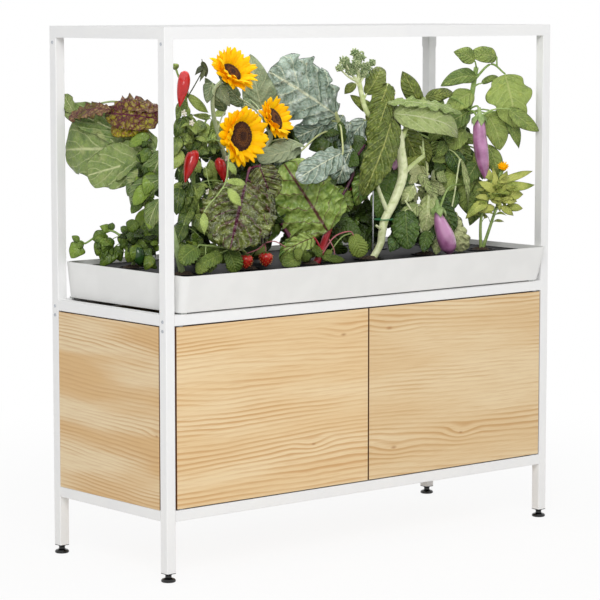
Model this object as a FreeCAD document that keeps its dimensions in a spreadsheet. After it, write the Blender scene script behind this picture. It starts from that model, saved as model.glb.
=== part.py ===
import FreeCAD, Part
import Sketcher
import math
import os
from FreeCAD import Placement, Rotation, Vector

# Indoor shelf garden. A welded square tube frame carries a wooden cabinet with the
# water tank, a planting tray above it and a shallow lamp hood on four posts.
# +X is to the right, +Y to the back, +Z up, and the origin is on the floor at the middle.

doc = FreeCAD.newDocument("shelf_garden")
sizes = doc.addObject("Spreadsheet::Sheet", "sizes")

driving_sizes = (
    # frame
    ("frame_width", 914.4), ("frame_depth", 335), ("tube", 19.05), ("tube_wall", 1.5),
    ("tube_corner", 1.6), ("leg_clearance", 104), ("cabinet_opening", 316.5),
    ("growing_opening", 463.8),
    # joining plugs and screws
    ("plug_play", 0.3), ("plug_reach", 32), ("screw_radius", 2), ("screw_head_radius", 3),
    ("screw_head_height", 1.2), ("screw_setback", 8), ("screw_grip", 6), ("screw_key", 2.5),
    ("collar_proud", 1.2), ("collar_length", 25),
    # lamp hood
    ("hood_height", 20.6), ("sheet", 1.5), ("hood_lip", 12), ("diffuser_thickness", 3),
    ("board_thickness", 1.6), ("board_margin", 34), ("diode", 3.5), ("diode_height", 0.8),
    ("diode_pitch", 72), ("diode_rows", 3), ("diodes_in_row", 11), ("diode_row_pitch", 90),
    # wood
    ("wood", 12), ("door_thickness", 15), ("panel_gap", 1.6), ("door_gap", 3.2),
    ("door_head_gap", 2), ("back_recess", 5), ("floor_ledge", 16), ("ledge_thickness", 2),
    ("arris", 0.8),
    # door pivots and touch latches
    ("pivot_inset", 11), ("pivot_radius", 3), ("pivot_depth", 14), ("bush_radius", 5),
    ("bush_flange_radius", 7), ("bush_flange", 1.4), ("bush_depth", 8), ("pivot_play", 0.15),
    ("pin_play", 0.05),
    ("strike_thickness", 1), ("strike_size", 24), ("latch_width", 16), ("latch_length", 46),
    ("latch_height", 30), ("latch_offset", 34), ("plunger_radius", 3), ("plunger_length", 24),
    ("plunger_play", 0.25), ("touch_gap", 0.3),
    # levelling feet
    ("foot_height", 15.3), ("cap_flange", 1.2), ("cap_depth", 18), ("stud_radius", 4),
    ("stud_length", 26), ("stud_play", 0.3), ("pad_radius", 12.7), ("pad_edge", 3.4),
    ("pad_crown", 6.6), ("neck_radius", 5.5), ("neck_top_radius", 7), ("neck_gap", 0.3),
    # planting tray
    ("tray_overhang", 22.5), ("tray_height", 63.4), ("tray_side_gap", 5.2), ("tray_wall", 3),
    ("tray_front_flare", 18), ("tray_side_flare", 3.8), ("tray_rear_gap", 4),
    ("tray_rear_flare", 6), ("tray_corner", 13), ("rest_size", 12), ("rest_height", 3),
    ("rest_inset", 8), ("lid_thickness", 2.5), ("lid_drop", 9), ("lid_play", 1),
    ("lid_leg", 120), ("lid_corner", 9),
    # net cups
    ("cup_pitch_x", 142), ("cup_pitch_y", 150), ("cup_radius", 24),
    ("cup_foot_radius", 17), ("cup_depth", 42), ("cup_wall", 1.4), ("cup_rim", 4),
    ("cup_rim_height", 1.8), ("cup_play", 0.4),
    # water
    ("tank_width", 560), ("tank_depth", 244), ("tank_height", 206), ("tank_wall", 3),
    ("tank_corner", 24), ("tank_draft", 12), ("tank_rim", 9), ("tank_lid", 3),
    ("tank_lid_skirt", 14), ("flap_width", 120), ("flap_depth", 84), ("flap_thickness", 3),
    ("flap_play", 0.6), ("flap_pin_radius", 1.6), ("flap_ear", 4),
    ("pipe_radius", 8), ("pipe_wall", 2), ("pipe_play", 0.1), ("pipe_spacing", 190),
    ("fitting_flange_radius", 16), ("fitting_flange", 3), ("fitting_thread_radius", 10),
    ("fitting_nut", 7), ("fitting_nut_radius", 14), ("barb_length", 16),
    ("standpipe_height", 26), ("pump_width", 54), ("pump_depth", 46), ("pump_height", 44),
    ("pump_corner", 7), ("pump_outlet", 14),
    # controls
    ("control_width", 112), ("control_height", 150), ("control_depth", 38),
    ("control_corner", 6), ("gland_radius", 9), ("gland_flange_radius", 13),
    ("gland_flange", 3), ("gland_bore", 4), ("gland_play", 0.3), ("gland_height", 60),
    ("gland_offset", 330),
    # plants
    ("soil_gap", 0.3), ("soil_height", 36), ("soil_top_radius", 21), ("soil_foot_radius", 15.2),
    ("leaf_thickness", 2.4), ("stalk_radius", 1.6), ("stake_radius", 1.5), ("stake_length", 124),
    ("clip_radius", 17.5), ("clip_wire", 1),
)
for row, (alias, value) in enumerate(driving_sizes, start=1):
    sizes.set("A%d" % row, str(value))
    sizes.setAlias("A%d" % row, alias)
doc.recompute()


def number(expression):
    """Work out an expression of the sheet's sizes, in millimetres."""
    return float(sizes.evalExpression(expression))


# Heights and planes that several pieces share, as expressions of the driving sizes.
PAD_PROUD = "(sizes.pad_radius - sizes.tube / 2)"
MIDDLE_Y = "((sizes.tray_overhang - %s) / 2)" % PAD_PROUD
FRONT_Y = "(%s - sizes.frame_depth / 2)" % MIDDLE_Y
BACK_Y = "(%s + sizes.frame_depth / 2)" % MIDDLE_Y
POST_X = "((sizes.frame_width - sizes.tube) / 2)"
POST_Y = "((sizes.frame_depth - sizes.tube) / 2)"
BOTTOM_RAIL_TOP = "(sizes.leg_clearance + sizes.tube)"
MID_RAIL_UNDER = "(%s + sizes.cabinet_opening)" % BOTTOM_RAIL_TOP
MID_RAIL_TOP = "(%s + sizes.tube)" % MID_RAIL_UNDER
HOOD_UNDER = "(%s + sizes.growing_opening)" % MID_RAIL_TOP
HOOD_TOP = "(%s + sizes.hood_height)" % HOOD_UNDER
INSIDE_WIDTH = "(sizes.frame_width - 2 * sizes.tube)"
INSIDE_DEPTH = "(sizes.frame_depth - 2 * sizes.tube)"
TRAY_UNDER = "(%s + sizes.rest_height)" % MID_RAIL_TOP
TRAY_FLOOR = "(%s + sizes.tray_wall)" % TRAY_UNDER
TRAY_TOP = "(%s + sizes.tray_height)" % TRAY_UNDER
LID_TOP = "(%s - sizes.lid_drop)" % TRAY_TOP
CORNERS = (("front_left", -1, -1), ("front_right", 1, -1),
           ("rear_left", -1, 1), ("rear_right", 1, 1))
SIDES = (("left", -1), ("right", 1))

nodes = {}


def keep(name, item):
    """Make an object a named piece of the garden."""
    item.Label = name
    nodes[name] = item
    return item


def place(item, x="0", y="0", z="0"):
    """Put an object where three expressions say."""
    item.setExpression("Placement.Base.x", x)
    item.setExpression("Placement.Base.y", y)
    item.setExpression("Placement.Base.z", z)
    return item


def body(name):
    return doc.addObject("PartDesign::Body", name + "_body")


def sketch(solid, role, name, lift=None):
    """Attach a sketch to one of a body's own origin planes, lifted off it if asked."""
    plane = [item for item in solid.Origin.OriginFeatures if item.Role == role][0]
    drawn = solid.newObject("Sketcher::SketchObject", name)
    drawn.AttachmentSupport = (plane, [""])
    drawn.MapMode = "FlatFace"
    if lift is not None:
        drawn.setExpression("AttachmentOffset.Base.z", lift)
    return drawn


def bind(drawn, constraint, name, expression):
    """Add a dimension to a sketch and tie it to an expression."""
    index = drawn.addConstraint(constraint)
    drawn.renameConstraint(index, name)
    drawn.setExpression("Constraints." + name, expression)


def rectangle(drawn, wide, high):
    """Draw a centred rectangle."""
    half_wide = number(wide) / 2
    half_high = number(high) / 2
    corners = [Vector(-half_wide, -half_high, 0), Vector(half_wide, -half_high, 0),
               Vector(half_wide, half_high, 0), Vector(-half_wide, half_high, 0)]
    first = drawn.GeometryCount
    for side in range(4):
        drawn.addGeometry(Part.LineSegment(corners[side], corners[(side + 1) % 4]), False)
    for side in range(4):
        drawn.addConstraint(Sketcher.Constraint("Coincident", first + side, 2, first + (side + 1) % 4, 1))
        drawn.addConstraint(Sketcher.Constraint(("Horizontal", "Vertical")[side % 2], first + side))
    drawn.addConstraint(Sketcher.Constraint("Symmetric", first, 1, first + 1, 2, -1, 1))
    bind(drawn, Sketcher.Constraint("DistanceX", first, 1, first, 2, 2 * half_wide), "wide%d" % first, wide)
    bind(drawn, Sketcher.Constraint("DistanceY", first + 1, 1, first + 1, 2, 2 * half_high),
         "high%d" % first, high)


def rounded_rectangle(drawn, wide, high, radius, across="0", along="0"):
    """Draw a rectangle with round corners about a chosen middle."""
    bend = number(radius)
    middle_x = number(across)
    middle_y = number(along)
    reach_x = number(wide) / 2 - bend
    reach_y = number(high) / 2 - bend
    first = drawn.GeometryCount
    for side, (sign_x, sign_y) in enumerate(((-1, -1), (1, -1), (1, 1), (-1, 1))):
        centre = Vector(middle_x + sign_x * reach_x, middle_y + sign_y * reach_y, 0)
        start = math.pi + side * math.pi / 2
        circle = Part.Circle(centre, Vector(0, 0, 1), bend)
        drawn.addGeometry(Part.ArcOfCircle(circle, start, start + math.pi / 2), False)
        turn = (Vector(0, -bend, 0), Vector(bend, 0, 0), Vector(0, bend, 0), Vector(-bend, 0, 0))[side]
        run = (Vector(2 * reach_x, 0, 0), Vector(0, 2 * reach_y, 0), Vector(-2 * reach_x, 0, 0),
               Vector(0, -2 * reach_y, 0))[side]
        drawn.addGeometry(Part.LineSegment(centre + turn, centre + turn + run), False)
    for side in range(4):
        arc = first + 2 * side
        line = arc + 1
        following = first + (2 * side + 2) % 8
        drawn.addConstraint(Sketcher.Constraint("Tangent", arc, 2, line, 1))
        drawn.addConstraint(Sketcher.Constraint("Tangent", line, 2, following, 1))
        drawn.addConstraint(Sketcher.Constraint(("Horizontal", "Vertical")[side % 2], line))
    for side in range(1, 4):
        drawn.addConstraint(Sketcher.Constraint("Equal", first, first + 2 * side))
    bind(drawn, Sketcher.Constraint("Radius", first, bend), "bend%d" % first, radius)
    for name, kind, arc, reach, middle, sign in (
            ("left", "DistanceX", first, wide, across, -1),
            ("right", "DistanceX", first + 4, wide, across, 1),
            ("low", "DistanceY", first, high, along, -1),
            ("high", "DistanceY", first + 4, high, along, 1)):
        place_of = "%s + %d * ((%s) / 2 - (%s))" % (middle, sign, reach, radius)
        bind(drawn, Sketcher.Constraint(kind, -1, 1, arc, 3, number(place_of)),
             "%s%d" % (name, first), place_of)


def circle(drawn, radius, across="0", along="0"):
    """Draw a circle about a chosen middle."""
    middle = Vector(number(across), number(along), 0)
    index = drawn.addGeometry(Part.Circle(middle, Vector(0, 0, 1), number(radius)), False)
    bind(drawn, Sketcher.Constraint("Radius", index, number(radius)), "radius%d" % index, radius)
    bind(drawn, Sketcher.Constraint("DistanceX", -1, 1, index, 3, middle.x), "across%d" % index, across)
    bind(drawn, Sketcher.Constraint("DistanceY", -1, 1, index, 3, middle.y), "along%d" % index, along)


def pad(solid, drawn, length, name="pad", midplane=False):
    """Push a sketch out along its normal."""
    made = solid.newObject("PartDesign::Pad", name)
    made.Profile = drawn
    made.Midplane = midplane
    made.setExpression("Length", length)
    drawn.Visibility = False
    return made


def pocket(solid, drawn, depth, name="pocket", upward=False):
    """Cut a sketch's shape into the body, against its normal unless upward is set."""
    made = solid.newObject("PartDesign::Pocket", name)
    made.Profile = drawn
    made.Reversed = upward
    made.setExpression("Length", depth)
    return made


def turned(solid, profile, name="turning"):
    """Revolve a closed profile of radius and height expressions about the upright axis."""
    drawn = sketch(solid, "XZ_Plane", name + "_profile")
    points = [Vector(number(radius), number(height), 0) for radius, height in profile]
    count = len(points)
    for index in range(count):
        drawn.addGeometry(Part.LineSegment(points[index], points[(index + 1) % count]), False)
    for index in range(count):
        drawn.addConstraint(Sketcher.Constraint("Coincident", index, 2, (index + 1) % count, 1))
    for index, (radius, height) in enumerate(profile):
        if radius == "0":
            drawn.addConstraint(Sketcher.Constraint("PointOnObject", index, 1, -2))
        else:
            bind(drawn, Sketcher.Constraint("DistanceX", -1, 1, index, 1, points[index].x),
                 "radius%d" % index, radius)
        if height == "0":
            drawn.addConstraint(Sketcher.Constraint("PointOnObject", index, 1, -1))
        else:
            bind(drawn, Sketcher.Constraint("DistanceY", -1, 1, index, 1, points[index].y),
                 "height%d" % index, height)
    made = solid.newObject("PartDesign::Revolution", name)
    made.Profile = drawn
    made.ReferenceAxis = (drawn, ["V_Axis"])
    made.Angle = 360
    return made


def box(name, wide, deep, high, x, y, z):
    """Make a box from its three sizes, centred on x and y and standing on z."""
    made = doc.addObject("Part::Box", name)
    made.setExpression("Length", wide)
    made.setExpression("Width", deep)
    made.setExpression("Height", high)
    return place(made, "%s - (%s) / 2" % (x, wide), "%s - (%s) / 2" % (y, deep), z)


def rod(name, radius, length, x, y, z, turn=None):
    """Make a round bar that starts at a point and runs up, or the way it is turned."""
    made = doc.addObject("Part::Cylinder", name)
    made.setExpression("Radius", radius)
    made.setExpression("Height", length)
    if turn is not None:
        made.Placement = Placement(Vector(0, 0, 0), turn)
    return place(made, x, y, z)


def cut(name, base, *tools):
    """Take one or more tools away from a base."""
    tool = tools[0]
    if len(tools) > 1:
        tool = doc.addObject("Part::MultiFuse", name + "_tools")
        tool.Shapes = list(tools)
    made = doc.addObject("Part::Cut", name)
    made.Base = base
    made.Tool = tool
    return made


def fuse(name, *shapes):
    """Join shapes into one solid."""
    made = doc.addObject("Part::MultiFuse", name)
    made.Shapes = list(shapes)
    return made


def group(name, items):
    """Keep like pieces together as separate solids of one node."""
    made = doc.addObject("Part::Compound", name + "_group")
    made.Links = list(items)
    return keep(name, made)


def tube_section(solid, role):
    """Draw the square tube's wall on an origin plane."""
    drawn = sketch(solid, role, "section")
    rounded_rectangle(drawn, "sizes.tube", "sizes.tube", "sizes.tube_corner")
    rectangle(drawn, "sizes.tube - 2 * sizes.tube_wall", "sizes.tube - 2 * sizes.tube_wall")
    return drawn


def screw_hole(solid, side, height, name):
    """Drill one screw hole in the outer wall of an upright tube."""
    drawn = sketch(solid, "YZ_Plane", name)
    circle(drawn, "sizes.screw_radius", "0", height)
    pocket(solid, drawn, "sizes.tube / 2 + sizes.collar_proud + 1", name + "_hole", upward=side > 0)


# The eight uprights. Legs and posts meet at the underside of the middle rails.
LEG_LENGTH = "(%s - sizes.foot_height)" % MID_RAIL_UNDER
POST_LENGTH = "(%s - %s)" % (HOOD_UNDER, MID_RAIL_UNDER)
for corner, side, row in CORNERS:
    post_x = "%d * %s" % (side, POST_X)
    post_y = "%s + %d * %s" % (MIDDLE_Y, row, POST_Y)
    leg = body("leg_" + corner)
    pad(leg, tube_section(leg, "XY_Plane"), LEG_LENGTH)
    screw_hole(leg, side, LEG_LENGTH + " - sizes.screw_setback", "joint")
    keep("leg_" + corner, place(leg, post_x, post_y, "sizes.foot_height"))
    post = body("post_" + corner)
    pad(post, tube_section(post, "XY_Plane"), POST_LENGTH)
    if corner == "rear_right":
        collar = sketch(post, "XY_Plane", "collar", POST_LENGTH + " - sizes.collar_length")
        collar_size = "sizes.tube + 2 * sizes.collar_proud"
        rounded_rectangle(collar, collar_size, collar_size, "sizes.tube_corner + sizes.collar_proud")
        rectangle(collar, "sizes.tube - 2 * sizes.tube_wall", "sizes.tube - 2 * sizes.tube_wall")
        pad(post, collar, "sizes.collar_length", "collar_pad")
        head_seat = sketch(post, "YZ_Plane", "head_seat", "sizes.tube / 2")
        circle(head_seat, "sizes.screw_head_radius + sizes.plug_play", "0",
               POST_LENGTH + " - sizes.screw_setback")
        pocket(post, head_seat, "sizes.collar_proud + 1", "head_seat_cut", upward=True)
    screw_hole(post, side, "sizes.screw_setback", "joint")
    screw_hole(post, side, POST_LENGTH + " - sizes.screw_setback", "hood")
    keep("post_" + corner, place(post, post_x, post_y, MID_RAIL_UNDER))

# Rails at two levels. The front ones carry the door pivots, the bottom side ones the floor.
PIVOT_X = "(%s / 2 - sizes.door_gap - sizes.pivot_inset)" % INSIDE_WIDTH
DOOR_MIDDLE_Y = "(%s + sizes.door_thickness / 2)" % FRONT_Y
for level, rail_middle in (("bottom", "%s - sizes.tube / 2" % BOTTOM_RAIL_TOP),
                           ("mid", "%s - sizes.tube / 2" % MID_RAIL_TOP)):
    for name, row in (("front", -1), ("rear", 1)):
        rail = body("%s_rail_%s" % (level, name))
        pad(rail, tube_section(rail, "YZ_Plane"), INSIDE_WIDTH, midplane=True)
        if row < 0:
            seats = sketch(rail, "XY_Plane", "pivot_seats")
            for side in (-1, 1):
                circle(seats, "sizes.bush_radius + sizes.pipe_play", "%d * %s" % (side, PIVOT_X),
                       "(sizes.door_thickness - sizes.tube) / 2")
            pocket(rail, seats, "sizes.tube / 2 + 1", "pivot_seat_holes", upward=level == "bottom")
        rail_y = "%s + %d * %s" % (MIDDLE_Y, row, POST_Y)
        keep("%s_rail_%s" % (level, name), place(rail, "0", rail_y, rail_middle))
    side_rails = []
    for name, side in SIDES:
        rail = body("%s_rail_%s" % (level, name))
        pad(rail, tube_section(rail, "XZ_Plane"), INSIDE_DEPTH, midplane=True)
        if level == "bottom":
            ledge = sketch(rail, "XY_Plane", "ledge", "sizes.tube / 2 - sizes.wood - sizes.ledge_thickness")
            rounded_rectangle(ledge, "sizes.floor_ledge", INSIDE_DEPTH + " - 2 * sizes.floor_ledge",
                              "sizes.tube_corner", "%d * (sizes.tube + sizes.floor_ledge) / -2" % side)
            pad(rail, ledge, "sizes.ledge_thickness", "ledge_pad")
        rail_x = "%d * %s" % (side, POST_X)
        side_rails.append(place(rail, rail_x, MIDDLE_Y, rail_middle))
    group(level + "_side_rails", side_rails)

# Square plugs join leg to post, and post to hood. Each is drilled for its screws.
PLUG = "(sizes.tube - 2 * sizes.tube_wall - 2 * sizes.plug_play)"
plugs = []
screws = []
OUT = {-1: Rotation(Vector(0, 1, 0), -90), 1: Rotation(Vector(0, 1, 0), 90)}
FACE_X = "(sizes.frame_width / 2)"


def socket_screw(name, side, post_y, height, proud):
    """Make a button head screw with a six sided socket, pointing into the tube."""
    screw = body(name)
    shank = "sizes.screw_radius - sizes.plug_play / 2"
    turned(screw, (("0", "-sizes.screw_grip"), (shank, "-sizes.screw_grip"),
                   (shank, "0"), ("sizes.screw_head_radius", "0"),
                   ("sizes.screw_head_radius", "sizes.screw_head_height / 2"),
                   ("sizes.screw_head_radius * 0.7", "sizes.screw_head_height"),
                   ("0", "sizes.screw_head_height")), "screw")
    key = sketch(screw, "XY_Plane", "key", "sizes.screw_head_height")
    circle(key, "sizes.screw_key / 2")
    pocket(screw, key, "sizes.screw_head_height * 0.8", "key_socket")
    screw.Placement = Placement(Vector(0, 0, 0), OUT[side])
    place(screw, "%d * (%s + %s)" % (side, FACE_X, proud), post_y, height)
    screws.append(screw)


for corner, side, row in CORNERS:
    post_x = "%d * %s" % (side, POST_X)
    post_y = "%s + %d * %s" % (MIDDLE_Y, row, POST_Y)
    for level, plug_middle, low, high in (
            ("joint", MID_RAIL_UNDER, "sizes.plug_reach", "sizes.plug_reach"),
            ("hood", HOOD_UNDER, "sizes.plug_reach", "sizes.hood_height - sizes.sheet")):
        plug = body("plug_%s_%s" % (level, corner))
        section = sketch(plug, "XY_Plane", "section", "-(%s)" % low)
        rectangle(section, PLUG, PLUG)
        pad(plug, section, "%s + %s" % (low, high))
        drilling = sketch(plug, "YZ_Plane", "drilling")
        circle(drilling, "sizes.screw_radius", "0", "-sizes.screw_setback")
        if level == "joint":
            circle(drilling, "sizes.screw_radius", "0", "sizes.screw_setback")
        pocket(plug, drilling, PLUG + " / 2 + 1", "screw_holes", upward=side > 0)
        place(plug, post_x, post_y, plug_middle)
        plugs.append(plug)
    for name, height in (("leg", "%s - sizes.screw_setback" % MID_RAIL_UNDER),
                         ("post", "%s + sizes.screw_setback" % MID_RAIL_UNDER),
                         ("hood", "%s - sizes.screw_setback" % HOOD_UNDER)):
        socket_screw("screw_%s_%s" % (name, corner), side, post_y, height, "0")
group("frame_plugs", plugs)
group("frame_screws", screws)

# Lamp hood: a folded sheet pan, open below inside a narrow lip, with a hole for each plug.
hood = body("hood_pan")
outline = sketch(hood, "XY_Plane", "outline")
rounded_rectangle(outline, "sizes.frame_width", "sizes.frame_depth", "sizes.tube_corner")
pad(hood, outline, "sizes.hood_height")
opening = sketch(hood, "XY_Plane", "opening")
rounded_rectangle(opening, "sizes.frame_width - 2 * (sizes.sheet + sizes.hood_lip)",
                  "sizes.frame_depth - 2 * (sizes.sheet + sizes.hood_lip)", "sizes.hood_lip")
pocket(hood, opening, "sizes.sheet * 2", "opening_cut", upward=True)
plug_holes = sketch(hood, "XY_Plane", "plug_holes")
for corner, side, row in CORNERS:
    rounded_rectangle(plug_holes, PLUG + " + 2 * sizes.plug_play", PLUG + " + 2 * sizes.plug_play",
                      "sizes.plug_play", "%d * %s" % (side, POST_X), "%d * %s" % (row, POST_Y))
pocket(hood, plug_holes, "sizes.sheet * 2", "plug_hole_cut", upward=True)
hollow = box("hood_hollow", "sizes.frame_width - 2 * sizes.sheet", "sizes.frame_depth - 2 * sizes.sheet",
             "sizes.hood_height - 2 * sizes.sheet", "0", "0", "sizes.sheet")
hood_shell = cut("hood_shell", hood, hollow)
keep("light_hood", place(hood_shell, "0", MIDDLE_Y, HOOD_UNDER))

# Inside it, a board with rows of diodes hangs under the top, and a clear sheet lies on the lip.
BOARD_WIDE = "(sizes.frame_width - 2 * sizes.tube - 2 * sizes.board_margin)"
BOARD_DEEP = "(sizes.frame_depth - 2 * sizes.tube - 2 * sizes.board_margin / 2)"
board = body("light_board")
board_outline = sketch(board, "XY_Plane", "outline")
rectangle(board_outline, BOARD_WIDE, BOARD_DEEP)
pad(board, board_outline, "sizes.board_thickness")
first_diode = sketch(board, "XY_Plane", "first_diode", "-sizes.diode_height")
rounded_rectangle(first_diode, "sizes.diode", "sizes.diode", "sizes.diode / 8",
                  "-(sizes.diodes_in_row - 1) / 2 * sizes.diode_pitch",
                  "-(sizes.diode_rows - 1) / 2 * sizes.diode_row_pitch")
diode = pad(board, first_diode, "sizes.diode_height", "diode")
doc.recompute()
rows_of_diodes = board.newObject("PartDesign::MultiTransform", "diode_grid")
rows_of_diodes.Originals = [diode]
along_row = board.newObject("PartDesign::LinearPattern", "along_row")
along_row.Direction = (first_diode, ["H_Axis"])
along_row.setExpression("Length", "(sizes.diodes_in_row - 1) * sizes.diode_pitch")
along_row.setExpression("Occurrences", "sizes.diodes_in_row")
across_rows = board.newObject("PartDesign::LinearPattern", "across_rows")
across_rows.Direction = (first_diode, ["V_Axis"])
across_rows.setExpression("Length", "(sizes.diode_rows - 1) * sizes.diode_row_pitch")
across_rows.setExpression("Occurrences", "sizes.diode_rows")
rows_of_diodes.Transformations = [along_row, across_rows]
board.Tip = rows_of_diodes
keep("light_board", place(board, "0", MIDDLE_Y, "%s - sizes.sheet - sizes.board_thickness" % HOOD_TOP))
diffuser = body("light_diffuser")
diffuser_outline = sketch(diffuser, "XY_Plane", "outline")
rectangle(diffuser_outline, INSIDE_WIDTH + " - 2 * sizes.plug_play",
          "sizes.frame_depth - 2 * sizes.sheet - 2 * sizes.plug_play")
pad(diffuser, diffuser_outline, "sizes.diffuser_thickness")
keep("light_diffuser", place(diffuser, "0", MIDDLE_Y, "%s + sizes.sheet" % HOOD_UNDER))


def board_panel(name, wide, high, thick, role, holes=()):
    """Make a wooden panel with eased long edges, standing on its lower edge."""
    panel = body(name)
    face = sketch(panel, role, "face")
    rounded_rectangle(face, wide, high, "sizes.arris", "0", "(%s) / 2" % high)
    pad(panel, face, thick, midplane=True)
    for index, (radius, across, along) in enumerate(holes):
        drilled = sketch(panel, role, "hole%d" % index, "(%s) / 2" % thick)
        circle(drilled, radius, across, along)
        pocket(panel, drilled, thick, "hole_cut%d" % index)
    return panel


# Cabinet: two side panels, a back panel and a floor.
PANEL_HIGH = "(sizes.cabinet_opening - sizes.panel_gap)"
for name, side in SIDES:
    panel = board_panel("side_panel_" + name, INSIDE_DEPTH + " - 2 * sizes.panel_gap", PANEL_HIGH,
                        "sizes.wood", "YZ_Plane")
    panel_x = "%d * (sizes.frame_width - sizes.wood) / 2" % side
    keep("side_panel_" + name, place(panel, panel_x, MIDDLE_Y, BOTTOM_RAIL_TOP))
BACK_PANEL_Y = "(%s - sizes.back_recess - sizes.wood / 2)" % BACK_Y
back = board_panel("back_panel", INSIDE_WIDTH + " - 2 * sizes.panel_gap", PANEL_HIGH, "sizes.wood",
                   "XZ_Plane", [("sizes.gland_radius", "sizes.gland_offset", "sizes.gland_height")])
keep("back_panel", place(back, "0", BACK_PANEL_Y, BOTTOM_RAIL_TOP))
floor = body("cabinet_floor")
floor_outline = sketch(floor, "XY_Plane", "outline")
rounded_rectangle(floor_outline, INSIDE_WIDTH + " - sizes.panel_gap",
                  INSIDE_DEPTH + " - sizes.panel_gap", "sizes.arris")
pad(floor, floor_outline, "sizes.wood")
keep("cabinet_floor", place(floor, "0", MIDDLE_Y, "%s - sizes.wood" % BOTTOM_RAIL_TOP))

# Two doors between the front rails, each turning on a pin above and a pin below.
DOOR_WIDE = "((%s - 3 * sizes.door_gap) / 2)" % INSIDE_WIDTH
DOOR_HIGH = "(sizes.cabinet_opening - 2 * sizes.door_head_gap)"
DOOR_UNDER = "(%s + sizes.door_head_gap)" % BOTTOM_RAIL_TOP
LATCH_X = "(sizes.latch_offset)"
BACK_OF_RAIL_Y = "(%s + sizes.tube)" % FRONT_Y
STRIKE_Y = "(%s + sizes.door_thickness)" % FRONT_Y
for name, side in SIDES:
    door = body("door_" + name)
    face = sketch(door, "XZ_Plane", "face")
    rounded_rectangle(face, DOOR_WIDE, DOOR_HIGH, "sizes.arris", "0", DOOR_HIGH + " / 2")
    pad(door, face, "sizes.door_thickness", midplane=True)
    pin_x = "%d * (%s / 2 - sizes.pivot_inset)" % (side, DOOR_WIDE)
    for end, lift, upward in (("lower", "0", True), ("upper", DOOR_HIGH, False)):
        bore = sketch(door, "XY_Plane", end + "_bore", lift)
        circle(bore, "sizes.pivot_radius + sizes.pin_play", pin_x)
        pocket(door, bore, "sizes.pivot_depth", end + "_pin_bore", upward=upward)
    door_x = "%d * (%s + sizes.door_gap) / 2" % (side, DOOR_WIDE)
    keep("door_" + name, place(door, door_x, DOOR_MIDDLE_Y, DOOR_UNDER))
    pivot_x = "%d * %s" % (side, PIVOT_X)
    reach = "sizes.pivot_depth + sizes.door_head_gap + sizes.bush_depth - sizes.bush_flange - 1"
    lower_pin = rod("lower_pin_" + name, "sizes.pivot_radius", reach, pivot_x, DOOR_MIDDLE_Y,
                    "%s + sizes.pivot_depth - (%s)" % (DOOR_UNDER, reach))
    upper_pin = rod("upper_pin_" + name, "sizes.pivot_radius", reach, pivot_x, DOOR_MIDDLE_Y,
                    "%s + %s - sizes.pivot_depth" % (DOOR_UNDER, DOOR_HIGH))
    strike = box("strike_" + name, "sizes.strike_size", "sizes.strike_thickness", "sizes.strike_size",
                 "%d * %s" % (side, LATCH_X), "%s + sizes.strike_thickness / 2" % STRIKE_Y,
                 "%s + %s - sizes.strike_size - 2" % (DOOR_UNDER, DOOR_HIGH))
    group("door_%s_fittings" % name, [lower_pin, upper_pin, strike])

# Flanged bushes line the four pivot holes of the front rails.
bushes = []
for name, side in SIDES:
    for end, under, flip in (("lower", BOTTOM_RAIL_TOP, 1), ("upper", MID_RAIL_UNDER, -1)):
        bush = body("bush_%s_%s" % (end, name))
        bore = "sizes.pivot_radius + sizes.pivot_play"
        depth = "-%d * (sizes.bush_depth - sizes.bush_flange)" % flip
        turned(bush, ((bore, depth), ("sizes.bush_radius", depth), ("sizes.bush_radius", "0"),
                      ("sizes.bush_flange_radius", "0"),
                      ("sizes.bush_flange_radius", "%d * sizes.bush_flange" % flip),
                      (bore, "%d * sizes.bush_flange" % flip)), "bush")
        bushes.append(place(bush, "%d * %s" % (side, PIVOT_X), DOOR_MIDDLE_Y, under))
group("pivot_bushes", bushes)

# A touch latch behind each door's free edge pushes the door open when it is pressed.
latches = []
BACKWARD = Rotation(Vector(1, 0, 0), -90)
for name, side in SIDES:
    latch_x = "%d * %s" % (side, LATCH_X)
    latch = body("latch_" + name)
    end_face = sketch(latch, "XZ_Plane", "end_face")
    rounded_rectangle(end_face, "sizes.latch_width", "sizes.latch_height", "sizes.latch_width / 5")
    pad(latch, end_face, "sizes.latch_length", midplane=True)
    latch_y = "%s + sizes.latch_length / 2" % BACK_OF_RAIL_Y
    place(latch, latch_x, latch_y, MID_RAIL_UNDER)
    plunger_z = "%s - sizes.latch_height / 4" % MID_RAIL_UNDER
    tip_y = "%s + sizes.strike_thickness + sizes.touch_gap" % STRIKE_Y
    barrel = rod("barrel_" + name, "sizes.plunger_radius + sizes.plunger_play",
                 "sizes.plunger_length + 8", latch_x, tip_y, plunger_z, BACKWARD)
    latches.append(cut("latch_body_" + name, latch, barrel))
    plunger = rod("plunger_" + name, "sizes.plunger_radius", "sizes.plunger_length", latch_x, tip_y,
                  plunger_z, BACKWARD)
    keep("latch_plunger_" + name, plunger)
group("latch_bodies", latches)

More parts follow.
